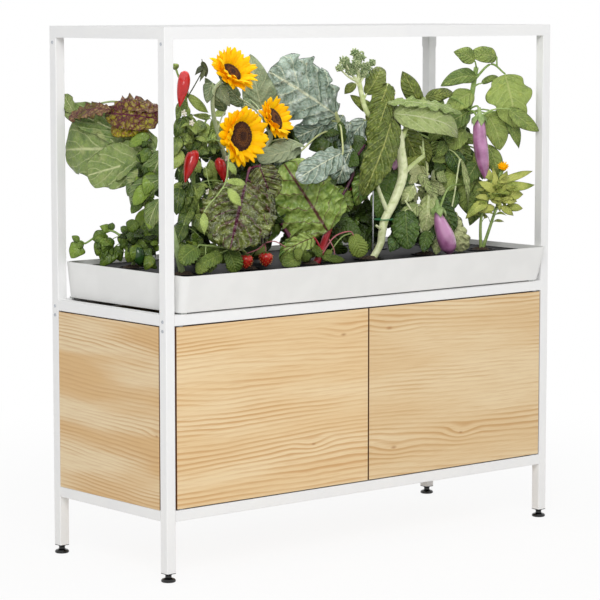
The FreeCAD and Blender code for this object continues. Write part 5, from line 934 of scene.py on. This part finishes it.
STRAWBERRY_LEAVES = [((-344, -100, 564), (-394, -112, 542), 38, 6, "toothed"),
    ((-290, -100, 550), (-350, -110, 535), 30, 6, "toothed"),
    ((-280, -98, 552), (-266, -96, 576), 32, 4, "toothed"),
    ((-280, -102, 556), (-274, -118, 518), 36, 6, "toothed"),
    ((-330, -104, 538), (-352, -110, 522), 26, 4, "toothed"),
    ((-308, -100, 536), (-328, -108, 522), 24, 4, "toothed"),
    ((16, -96, 566), (28, -110, 526), 38, 6, "toothed", 1.0, 0.0), ((-50, -84, 528), (-2, -96, 520), 16, 4),
    ((-96, -80, 532), (-148, -98, 522), 30, 6, "toothed"), ((-180, -84, 556), (-214, -98, 544), 14, 2)]
STRAWBERRY_LEAVES += thicket((-300, -86, 544), (46, 16, 16), 10, 32, 28, ("toothed",))
STRAWBERRY_LEAVES += thicket((-90, -88, 534), (60, 14, 12), 9, 26, 20, ("toothed",))
grow("strawberry", "strawberry_plants", stems_of(STRAWBERRY_STEMS), STRAWBERRY_LEAVES, strawberry_leaf,
     bush_stem, 1.0, STRAWBERRY_LEAVES[:10])
make_piece("strawberry_runners", "strawberry_plants", [
    tube([(-249, -115, 548, 1.0), (-236, -111, 550, 1.0), (-218, -110, 554, 1.1), (-202, -108, 564, 1.2),
          (-198, -104, 582, 1.0)], around=6),
    tube([(-202, -108, 564, 1.2), (-176, -106, 565, 1.0), (-149, -104, 553, 0.9)], around=6),
    tube([(-202, -108, 564, 1.1), (-203, -113, 556, 1.0), (-204, -115, 547, 1.0)], around=6),
    tube([(-34, -88, 559, 1.2), (-24, -90, 540, 1.1), (-17, -84, 519, 1.1)], around=6),
    tube([(-46, -80, 530, 1.5), (-24, -90, 563, 1.3), (6, -97, 572, 1.1), (15, -99, 564, 1.0)], around=6)],
    runner_pink)
BERRIES = [(-249, -115, 536), (-204, -115, 537)]
BERRY_PROFILE = ((12, 2), (9, 9.5), (2, 12), (-7, 8), (-14, 1.5))
make_piece("strawberries", "strawberry_plants",
           [tube([(x, y, z + up, wide) for up, wide in BERRY_PROFILE], around=20, step=1.5)
            for x, y, z in BERRIES], berry_red)
seeds = []
for x, y, z in BERRIES:
    for index in range(44):
        out, side = math.cos(GOLDEN * index), math.sin(GOLDEN * index)
        level = 7 - 0.42 * index
        wide = 12.3 * math.sqrt(max(0.06, 1 - ((level - 2) / 15) ** 2))
        seeds.append(bead((x + out * wide, y + side * wide, z + level), 0.7, 1.6, (out, side, 0.2)))
make_piece("berry_seeds", "strawberry_plants", seeds, seed_yellow)
make_piece("berry_caps", "strawberry_plants",
           [leaf((x, y, z + 12), (x + 11 * math.cos(turn), y + 11 * math.sin(turn), z + 7), 5, 1.5,
                 "lance", facing=(0.5 * math.cos(turn), 0.5 * math.sin(turn), 1))
            for x, y, z in BERRIES for turn in np.arange(7) * TURN / 7], strawberry_leaf)

# Broccoli: a knobbly pale stem that bends past the stake, long drooping leaves, two of them paler,
# and at the top florets of tiny buds on short branches.
broccoli_leaf = leaf_skin("broccoli_leaf", "#3C5018", "#8E9C48", "#B9BC6C", "#98A25A", 7, 0.28, 2.4,
                          "#5F7430", (0.5, 0.7), contrast=0.45, grain=9)
pale_broccoli_leaf = leaf_skin("pale_broccoli_leaf", "#7C9648", "#B4C27E", "#D6DAAE", "#9CAB72", 6,
                               0.36, 1.6, contrast=0.45, grain=6)
pale_stem = soft_skin("broccoli_stem", "#B7C57E", "#E8EDC0", 0.36, 9.0, 0.5)
floret_green = soft_skin("broccoli_floret", "#66804E", "#BDC799", 0.7, 2.2, 0.3)
BROCCOLI_STEMS = [
    (6.5, 1.07, [(74, -77, 508), (98, -78, 540), (103, -78, 562), (110, -78, 587), (134, -78, 622),
        (156, -76, 668), (158, -66, 715), (157, -58, 745), (132, -45, 768)]),
    (5.5, 0.9, [(128, -45, 762), (102, -35, 785), (90, -26, 843)]),
    (5, 0.9, [(152, -74, 664), (184, -72, 684), (214, -70, 700)]),
    (4, 0.8, [(156, -66, 720), (190, -60, 770), (214, -58, 800)]),
    (4.5, 0.85, [(117, -78, 600), (98, -80, 632), (86, -82, 654)]),
    (3.4, 0.8, [(104, -78, 570), (90, -82, 574), (82, -86, 578)])]
BROCCOLI_LEAVES = [((110, -25, 815), (152, -20, 866), 36, 6, "cabbage"),
    ((150, -40, 835), (110, -35, 765), 46, 7, "cabbage"), ((215, -60, 795), (180, -50, 856), 36, 6),
    ((120, -30, 786), (78, -20, 814), 22, 4), ((141, -50, 805), (87, -66, 716), 44, 12, "chard", 0.3, 0.0),
    ((133, -70, 772), (46, -92, 642), 60, 14, "chard", 0.25, 0.03),
    ((145, -50, 785), (110, -40, 715), 36, 7, "cabbage"), ((245, -40, 805), (310, -50, 818), 26, 7),
    ((84, -24, 836), (62, -20, 818), 18, 4)]
PALE_BROCCOLI_LEAVES = [((143, -62, 780), (306, -92, 738), 60, 14, "oval", 0.8, 0.03, (-0.62, -0.72, 0.3)),
    ((126, -66, 800), (296, -84, 776), 34, 12, "kale", 0.2, 0.0, (-0.4, -0.5, 0.8))]
BROCCOLI_LEAVES += thicket((160, -34, 760), (34, 20, 80), 16, 50, 28, ("cabbage", "oval"))
BROCCOLI_LEAVES += [((210, -20, 750), (232, -36, 690), 46, 7), ((176, -24, 720), (186, -36, 668), 34, 6),
    ((240, -24, 716), (214, -44, 660), 40, 7, "cabbage"), ((252, -24, 730), (258, -30, 676), 34, 6)]
BUNCHES = (((57, -25, 876), 8), ((96, -22, 884), 9), ((113, -20, 864), 9), ((75, -24, 858), 9),
           ((42, -28, 864), 6), ((128, -20, 872), 6), ((84, -30, 870), 9), ((68, -20, 868), 7),
           ((102, -30, 852), 7), ((88, -18, 892), 6))


def floret_bunch(middle, radius):
    """A dense head of buds set round a ball by the golden angle, in small domes of their own."""
    middle = np.array(middle)
    buds = []
    count = int(radius * radius * 0.8)
    for index in range(count):
        level = 1 - 1.7 * (index + 0.5) / count
        spread = math.sqrt(max(0.0, 1 - level ** 2))
        out = np.array((math.cos(GOLDEN * index) * spread, math.sin(GOLDEN * index) * spread, level))
        knob = 1 + 0.1 * math.sin(5 * out[0] * 2 + out[1] * 9) * math.cos(out[2] * 9)
        buds.append(bead(middle + out * radius * knob * dice.uniform(0.8, 1.3), 1.6, 1.3, out))
    profile = ((-0.9, 2), (-0.5, radius * 0.7), (0, radius * 0.88), (0.55, radius * 0.7), (0.85, 1))
    core = tube([(*(middle + (0, 0, radius * up)), wide) for up, wide in profile], around=14, step=3)
    return [*buds, core]


stems, bends = stems_of(BROCCOLI_STEMS)
make_piece("broccoli_leaves", "broccoli_plant", leaves_of(BROCCOLI_LEAVES), broccoli_leaf)
make_piece("pale_broccoli_leaves", "broccoli_plant", leaves_of(PALE_BROCCOLI_LEAVES), pale_broccoli_leaf)
stems += [tube([(92, -27, 838, 3.4), (*((np.array(middle) + (90, -26, 838)) / 2 - (0, 0, 3)), 2),
                (*middle, 1.6)], around=8) for middle, _ in BUNCHES]
make_piece("broccoli_stems", "broccoli_plant", stems + stalks_to(bends, BROCCOLI_LEAVES, 2.2), pale_stem)
make_piece("broccoli_florets", "broccoli_plant", sum([floret_bunch(*bunch) for bunch in BUNCHES], []),
           floret_green)

# Kale: blue grey leaves, deeply curled at the edge, with a pale yellow rib and a faint bloom. The
# largest lies across towards the sunflowers.
kale_leaf = leaf_skin("kale_leaf", "#4A6852", "#ACC0B0", "#DDE3C4", "#9AAE9E", 6, 0.22, 3.4, "#D0DED4",
                      (0.52, 0.7), contrast=0.6, grain=10, shine=0.6)
kale_stem = soft_skin("kale_stem", "#A5B06E", "#C6CC90", 0.5, 8.0, 0.2)
KALE_STEMS = [
    (6, 0.9, [(214, 72, 508), (190, 60, 600), (140, 45, 680), (100, 34, 750), (82, 30, 782)])]
KALE_LEAVES = [((84, 30, 776), (-44, 70, 858), 122, 15, "kale", 0.8, 0.0),
    ((80, 40, 765), (0, 70, 730), 42, 6, "kale"),
    ((14, -70, 713), (-112, -98, 675), 54, 9, "cabbage", 0.6, 0.0),
    ((106, 12, 716), (64, 4, 652), 44, 7, "cabbage", 0.0, 0.0),
    ((5, 40, 710), (-85, 40, 690), 36, 7, "kale"), ((110, 40, 775), (60, 30, 725), 36, 7, "kale"),
    ((30, 66, 856), (8, 70, 890), 16, 4, "kale"), ((125, 35, 760), (60, 40, 715), 42, 7, "kale"),
    ((120, 30, 750), (72, 20, 665), 42, 7), ((160, 30, 765), (95, 40, 695), 46, 11)]
grow("kale", "kale_plant", stems_of(KALE_STEMS), KALE_LEAVES, kale_leaf,
     kale_stem, 1.8)

# Mixed greens: dark blistered leaves low down, pale smooth ones and a few curled ones above, on
# thin stems from the front cup.
dark_green_leaf = leaf_skin("dark_salad_leaf", "#2C481D", "#6A8842", "#81914D", "#778548", 6, 0.16, 1.6,
                            "#547855", (0.6, 0.8), contrast=0.4, grain=7)
pale_green_leaf = leaf_skin("pale_salad_leaf", "#93A862", "#DADFA4", "#E6E4B0", "#C9D098", 5, 0.3, 1.8,
                            contrast=0.4, grain=6)
DARK_GREENS = [((150, -90, 602), (140, -110, 532), 52, 9, "chard"),
    ((240, -72, 620), (272, -92, 556), 42, 7, "chard"), ((316, -50, 632), (280, -60, 588), 30, 6),
    ((212, -90, 560), (182, -104, 526), 30, 6), ((304, -40, 708), (326, -56, 658), 36, 6),
    ((146, -80, 556), (108, -96, 530), 30, 6)]
PALE_GREENS = [((234, -66, 632), (200, -84, 556), 40, 7), ((285, -70, 592), (304, -90, 518), 46, 7, "kale"),
    ((210, -76, 660), (226, -84, 622), 16, 4, "lance"), ((184, -76, 646), (158, -72, 614), 26, 4),
    ((320, -60, 690), (325, -75, 600), 12, 4, "lance"), ((200, -70, 610), (125, -85, 580), 30, 6),
    ((242, -84, 550), (218, -100, 516), 26, 6), ((245, -40, 690), (195, -50, 645), 34, 6)]
DARK_GREENS += thicket((235, -56, 560), (70, 36, 26), 22, 38, 26, ("oval", "chard"))
DARK_GREENS += [((168, -34, 676), (132, -52, 604), 56, 8, "chard"),
    ((190, -30, 668), (200, -50, 606), 44, 8), ((132, -40, 640), (112, -56, 590), 40, 7),
    ((180, -40, 628), (166, -56, 570), 46, 8, "cabbage")]
PALE_GREENS += thicket((240, -50, 640), (60, 24, 40), 16, 36, 22, ("oval", "cabbage"))
GREENS_STEMS = [
    (5, 0.85, [(214, -77, 508), (212, -80, 570), (222, -76, 634)]),
    (2.4, 0.85, [(214, -77, 520), (250, -76, 570), (290, -66, 600), (318, -58, 690)]),
    (2.4, 0.85, [(213, -78, 540), (180, -82, 590), (160, -78, 620)])]
stems, bends = stems_of(GREENS_STEMS)
make_piece("dark_salad_leaves", "leafy_greens", leaves_of(DARK_GREENS), dark_green_leaf)
make_piece("pale_salad_leaves", "leafy_greens", leaves_of(PALE_GREENS), pale_green_leaf)
make_piece("salad_stems", "leafy_greens",
           stems + stalks_to(bends, DARK_GREENS[:6] + PALE_GREENS[:8], 1.4), pale_stem)

# Eggplant: the tall plant at the right, with soft broad leaves and three long lilac fruits that
# hang from thin stems under green caps. The fruit's waxy skin shines softly.
eggplant_leaf = leaf_skin("eggplant_leaf", "#48662A", "#9AAD58", "#BDC47C", "#939D5C", 6, 0.38, 1.4,
                          "#A3B153", (0.6, 0.8), contrast=0.35, grain=5)
lilac_fruit = soft_skin("lilac_eggplant", "#8E4479", "#C583B4", 0.3, 22.0, 0.05, Specular_IOR_Level=1.0,
                        Coat_Weight=1.0, Coat_Roughness=0.2)
calyx_green = soft_skin("eggplant_calyx", "#7F9A54", "#A3B878", 0.5, 6.0, 0.3)
EGGPLANT_STEMS = [
    (7, 0.9, [(357, 72, 508), (350, 40, 600), (345, -15, 700), (348, -50, 780), (352, -66, 862)]),
    (2.6, 0.8, [(350, -60, 836), (372, -84, 868), (402, -92, 850)]),
    (3, 0.8, [(346, -40, 760), (338, -70, 780), (334, -90, 768)])]
EGGPLANT_LEAVES = [((340, -74, 874), (300, -60, 892), 30, 4), ((388, -84, 882), (330, -70, 888), 34, 6),
    ((350, -70, 845), (280, -50, 830), 32, 6), ((360, -72, 832), (398, -80, 844), 14, 4),
    ((400, -95, 848), (396, -132, 752), 84, 11, "lobed", 1.0, 0.0),
    ((375, -130, 785), (432, -156, 742), 30, 6), ((395, -100, 775), (415, -120, 708), 25, 6, "lance"),
    ((370, -75, 775), (390, -95, 705), 50, 7), ((384, -80, 778), (420, -104, 736), 36, 6),
    ((350, -60, 815), (295, -40, 780), 40, 7), ((380, -70, 715), (398, -85, 650), 30, 6),
    ((345, -40, 705), (280, -20, 685), 36, 6), ((355, -45, 675), (325, -40, 600), 36, 7),
    ((345, -55, 780), (280, -40, 750), 46, 7), ((340, -50, 744), (302, -36, 706), 36, 7),
    ((365, -60, 685), (325, -60, 640), 36, 7), ((365, -55, 650), (370, -60, 585), 36, 6),
    ((336, -44, 638), (348, -56, 580), 34, 6), ((320, -36, 668), (284, -40, 620), 34, 6),
    ((278, -44, 810), (246, -36, 768), 36, 6), ((362, -60, 706), (374, -64, 648), 34, 6),
    ((385, -60, 625), (335, -70, 565), 36, 7)]
EGGPLANT_FRUITS = [
    [(336, -92, 772, 4), (336, -92, 764, 10), (336, -93, 735, 13), (339, -95, 704, 13.5),
        (344, -96, 676, 10.5), (347, -96, 658, 4), (348, -96, 652, 1)],
    [(200, -122, 606, 3), (202, -122, 596, 7), (209, -124, 574, 13.5), (218, -126, 552, 17),
        (226, -126, 532, 15), (229, -126, 520, 5)],
    [(182, -30, 713, 4), (180, -30, 706, 10), (174, -30, 692, 14), (168, -30, 676, 9), (166, -30, 671, 2)]]
EGGPLANT_LEAVES += thicket((330, -30, 720), (56, 26, 90), 34, 46, 28, ("oval", "heart"))
EGGPLANT_HANGERS = [
    [(342, -50, 780, 2), (338, -84, 790, 1.8), (334, -92, 772, 2.4)],
    [(348, -40, 640, 2), (250, -100, 640, 1.8), (202, -122, 596, 2.4)],
    [(345, -20, 700, 2), (230, -26, 740, 1.8), (182, -30, 713, 2.4)]]
grow("eggplant", "eggplant_plant", stems_of(EGGPLANT_STEMS), EGGPLANT_LEAVES, eggplant_leaf,
     bush_stem, 1.6, EGGPLANT_LEAVES[:22], EGGPLANT_HANGERS)
make_piece("eggplants", "eggplant_plant", [tube(row, around=20, step=2.5) for row in EGGPLANT_FRUITS],
           lilac_fruit)
caps = []
for (x, y, z, _), _, (x2, y2, z2, reach), *_ in EGGPLANT_FRUITS:
    caps.append(tube([(x, y, z + 16, 2.6), (x, y, z + 8, 3.6), (x, y, z + 1, 6.5), (x, y, z - 3, 8)],
                     around=14, step=2))
    for turn in np.arange(6) * TURN / 6:
        out = np.array((math.cos(turn), math.sin(turn), 0))
        start = np.array((x, y, z + 2)) + out * 3
        end = (np.array((x, y, z)) + np.array((x2, y2, z2))) / 2 + out * (reach * 0.95 + 3)
        caps.append(leaf(start, end, 15, 3, "lance", bend=0.0, facing=out + (0, 0, 0.3)))
make_piece("eggplant_caps", "eggplant_plant", caps, calyx_green)

# Marigold: lime green feathered leaves on two stems in the front right cup, and one small yellow
# flower that opens upward from a green calyx.
marigold_leaf = leaf_skin("marigold_leaf", "#7C9332", "#CDD26E", "#DCDC8C", "#BCC070", 8, 0.34, 0.6,
                          "#C49D40", (0.68, 0.85), contrast=0.35)
MARIGOLD_STEMS = [
    (3.4, 0.85, [(357, -77, 508), (375, -90, 575), (384, -100, 620), (378, -104, 655), (383, -107, 670)]),
    (3.2, 0.85, [(357, -77, 508), (348, -86, 575), (358, -94, 618), (362, -98, 646)])]
MARIGOLD_LEAVES = [((370, -110, 645), (433, -142, 668), 16, 4, "lance"),
    ((375, -110, 640), (436, -142, 640), 20, 6, "lance"),
    ((386, -106, 622), (422, -126, 622), 24, 4, "lance"), ((398, -100, 596), (426, -120, 594), 16, 4),
    ((362, -96, 614), (334, -84, 618), 14, 4), ((350, -100, 608), (302, -96, 582), 22, 6),
    ((385, -95, 600), (365, -100, 675), 20, 6, "lance"),
    ((380, -104, 632), (402, -118, 662), 16, 4, "lance"),
    ((372, -100, 628), (332, -92, 648), 20, 4, "lance"),
    ((380, -104, 612), (412, -120, 608), 18, 4, "lance"),
    ((372, -106, 636), (394, -110, 668), 16, 4, "lance"), ((370, -98, 600), (336, -96, 590), 18, 4),
    ((382, -102, 600), (408, -114, 580), 14, 4, "lance"),
    ((362, -100, 650), (344, -96, 678), 16, 4, "lance")]
MARIGOLD_LEAVES += shoots([(372, -88, 570), (382, -99, 620), (378, -104, 652)], 16, 30, 8, 2, "lance",
                          droop=0.2)
MARIGOLD_LEAVES += shoots([(350, -87, 575), (358, -94, 618), (362, -98, 640)], 12, 26, 8, 2, "lance",
                          droop=0.2)
MARIGOLD_LEAVES += thicket((380, -104, 622), (26, 20, 26), 26, 32, 10, ("lance",), 0.1)
stems, bends = stems_of(MARIGOLD_STEMS)
make_piece("marigold_leaves", "marigold_plant", leaves_of(MARIGOLD_LEAVES), marigold_leaf)
rings, _, bed, under = flower((384, -107, 667), (381, -111, 674), 11, 0.4, 0.3, petals=12)
stalks = stalks_to(bends, MARIGOLD_LEAVES, 0.7) + [tube([(379, -103, 648, 1.7), (382, -106, 660, 1.7),
                                                        (383, -108, 669, 3.2)])]
make_piece("marigold_stems", "marigold_plant", stems + stalks + under, bush_stem)
# The marigold's petals share that faint painted glow.
make_piece("marigold_petals", "marigold_plant", rings + bed, petal_yellow_glow)

# Stake: a steel wire pushed through the lid, with a green plastic clip ring round the broccoli's
# stem.
stake_steel = coated("bright_steel_wire", "#C9CCCF", "#AEB2B6", 0.25, 3.0, 0.01, Metallic=1.0)
clip_green = soft_skin("green_plastic_clip", "#2F7A4A", "#46925E", 0.3, 4.0, 0.05)
STAKE = (97, -60)
CLIP = (112, -72, 587)
CLIP_RADIUS = 17.5
make_piece("stake_wire", "plant_stake", [tube([(*STAKE, level, 1.5) for level in (LID_TOP, 580, 640)])],
           stake_steel)
make_piece("stake_clip", "plant_stake",
           [tube([(CLIP[0] + CLIP_RADIUS * math.cos(turn), CLIP[1] + CLIP_RADIUS * math.sin(turn),
                   CLIP[2], 1.1) for turn in np.linspace(0.1, TURN - 0.1, 25)], around=8, step=2)],
           clip_green)

# Studio: a pale seamless floor and backdrop, one broad lamp to the left front, a weak one to the
# right and soft light from all round. A faint lamp under the hood stands in for what the hood
# keeps from the rear posts. The camera sees plain white, and a faint shadow on the floor.
STAGE_SPAN = 14.0
SHADOW_SHARE = 0.1
SHADOW_FROM, SHADOW_TO = 0.5, 1.7
SOFT_LIGHT = 0.5
floor_material, tree, paper = new_material("white_paper_floor", Roughness=0.9)
grain = add(tree, "Mix", {0: clouds(tree, 40), 6: "#FFFFFF", 7: "#FCFCFC"}, **COLOURS)
tree.links.new(grain, paper.inputs["Base Color"])
spread = add(tree, "VectorMath", {0: add(tree, "TexCoord", {}, take="Object")}, take="Value",
             operation="LENGTH")
shadow = add(tree, "MapRange", {"Value": spread, "From Min": SHADOW_FROM, "From Max": SHADOW_TO,
                                "To Min": SHADOW_SHARE, "To Max": 0.0}, **SMOOTH)


def seen_rays(tree):
    """One for rays from the camera, off glossy surfaces and through clear ones, else nought."""
    seen = 0.0
    for kind in ("Camera", "Glossy", "Transmission"):
        ray = add(tree, "LightPath", {}, take=f"Is {kind} Ray")
        seen = add(tree, "Math", {0: seen, 1: ray}, operation="MAXIMUM")
    return seen


plain = add(tree, "Math", {0: 1.0, 1: seen_rays(tree)}, operation="SUBTRACT")
share = add(tree, "Math", {0: plain, 1: shadow}, operation="MAXIMUM")
glow = add(tree, "Emission", {"Color": "#FFFFFF", "Strength": 1.0})
surface = add(tree, "MixShader", {0: share, 1: glow, 2: paper.outputs[0]})
tree.links.new(surface, tree.nodes["Material Output"].inputs["Surface"])

half = STAGE_SPAN / 2
floor_mesh = bpy.data.meshes.new("floor")
floor_mesh.from_pydata([(-half, -half, 0), (half, -half, 0), (half, half, 0), (-half, half, 0)], [],
                       [(0, 1, 2, 3)])
floor_mesh.materials.append(floor_material)
studio_floor = bpy.data.objects.new("studio_floor", floor_mesh)
studio_floor.location.z = -0.5 * MM
scene.collection.objects.link(studio_floor)

world = bpy.data.worlds.new("studio")
scene.world = world
world.use_nodes = True
tree = world.node_tree
tree.nodes.clear()
soft = add(tree, "Background", {"Color": "#FFFFFF", "Strength": SOFT_LIGHT})
white = add(tree, "Background", {"Color": "#FFFFFF", "Strength": 1.0})
both = add(tree, "MixShader", {0: seen_rays(tree), 1: soft, 2: white})
add(tree, "OutputWorld", {"Surface": both})

LAMPS = (("key_lamp", (-2.7, -3.2, 3.0), (2.0, 2.0), 98),
         ("side_lamp", (3.0, -2.2, 1.8), (2.0, 2.0), 9),
         ("hood_lamp", (0, 0, 0.92), (0.8, 0.24), 0.95))
AIM_AT = np.array((0, 0, 0.5))
for name, place, (lamp_wide, lamp_deep), power in LAMPS:
    lamp = bpy.data.lights.new(name, "AREA")
    lamp.shape = "RECTANGLE"
    lamp.size = lamp_wide
    lamp.size_y = lamp_deep
    lamp.energy = power
    holder = bpy.data.objects.new(name, lamp)
    holder.location = place
    aim = AIM_AT - np.array(place)
    holder.rotation_euler = (math.atan2(math.hypot(aim[0], aim[1]), -aim[2]), 0,
                             math.atan2(-aim[0], aim[1]))
    holder.visible_camera = False
    scene.collection.objects.link(holder)

scene.view_settings.view_transform = "Standard"
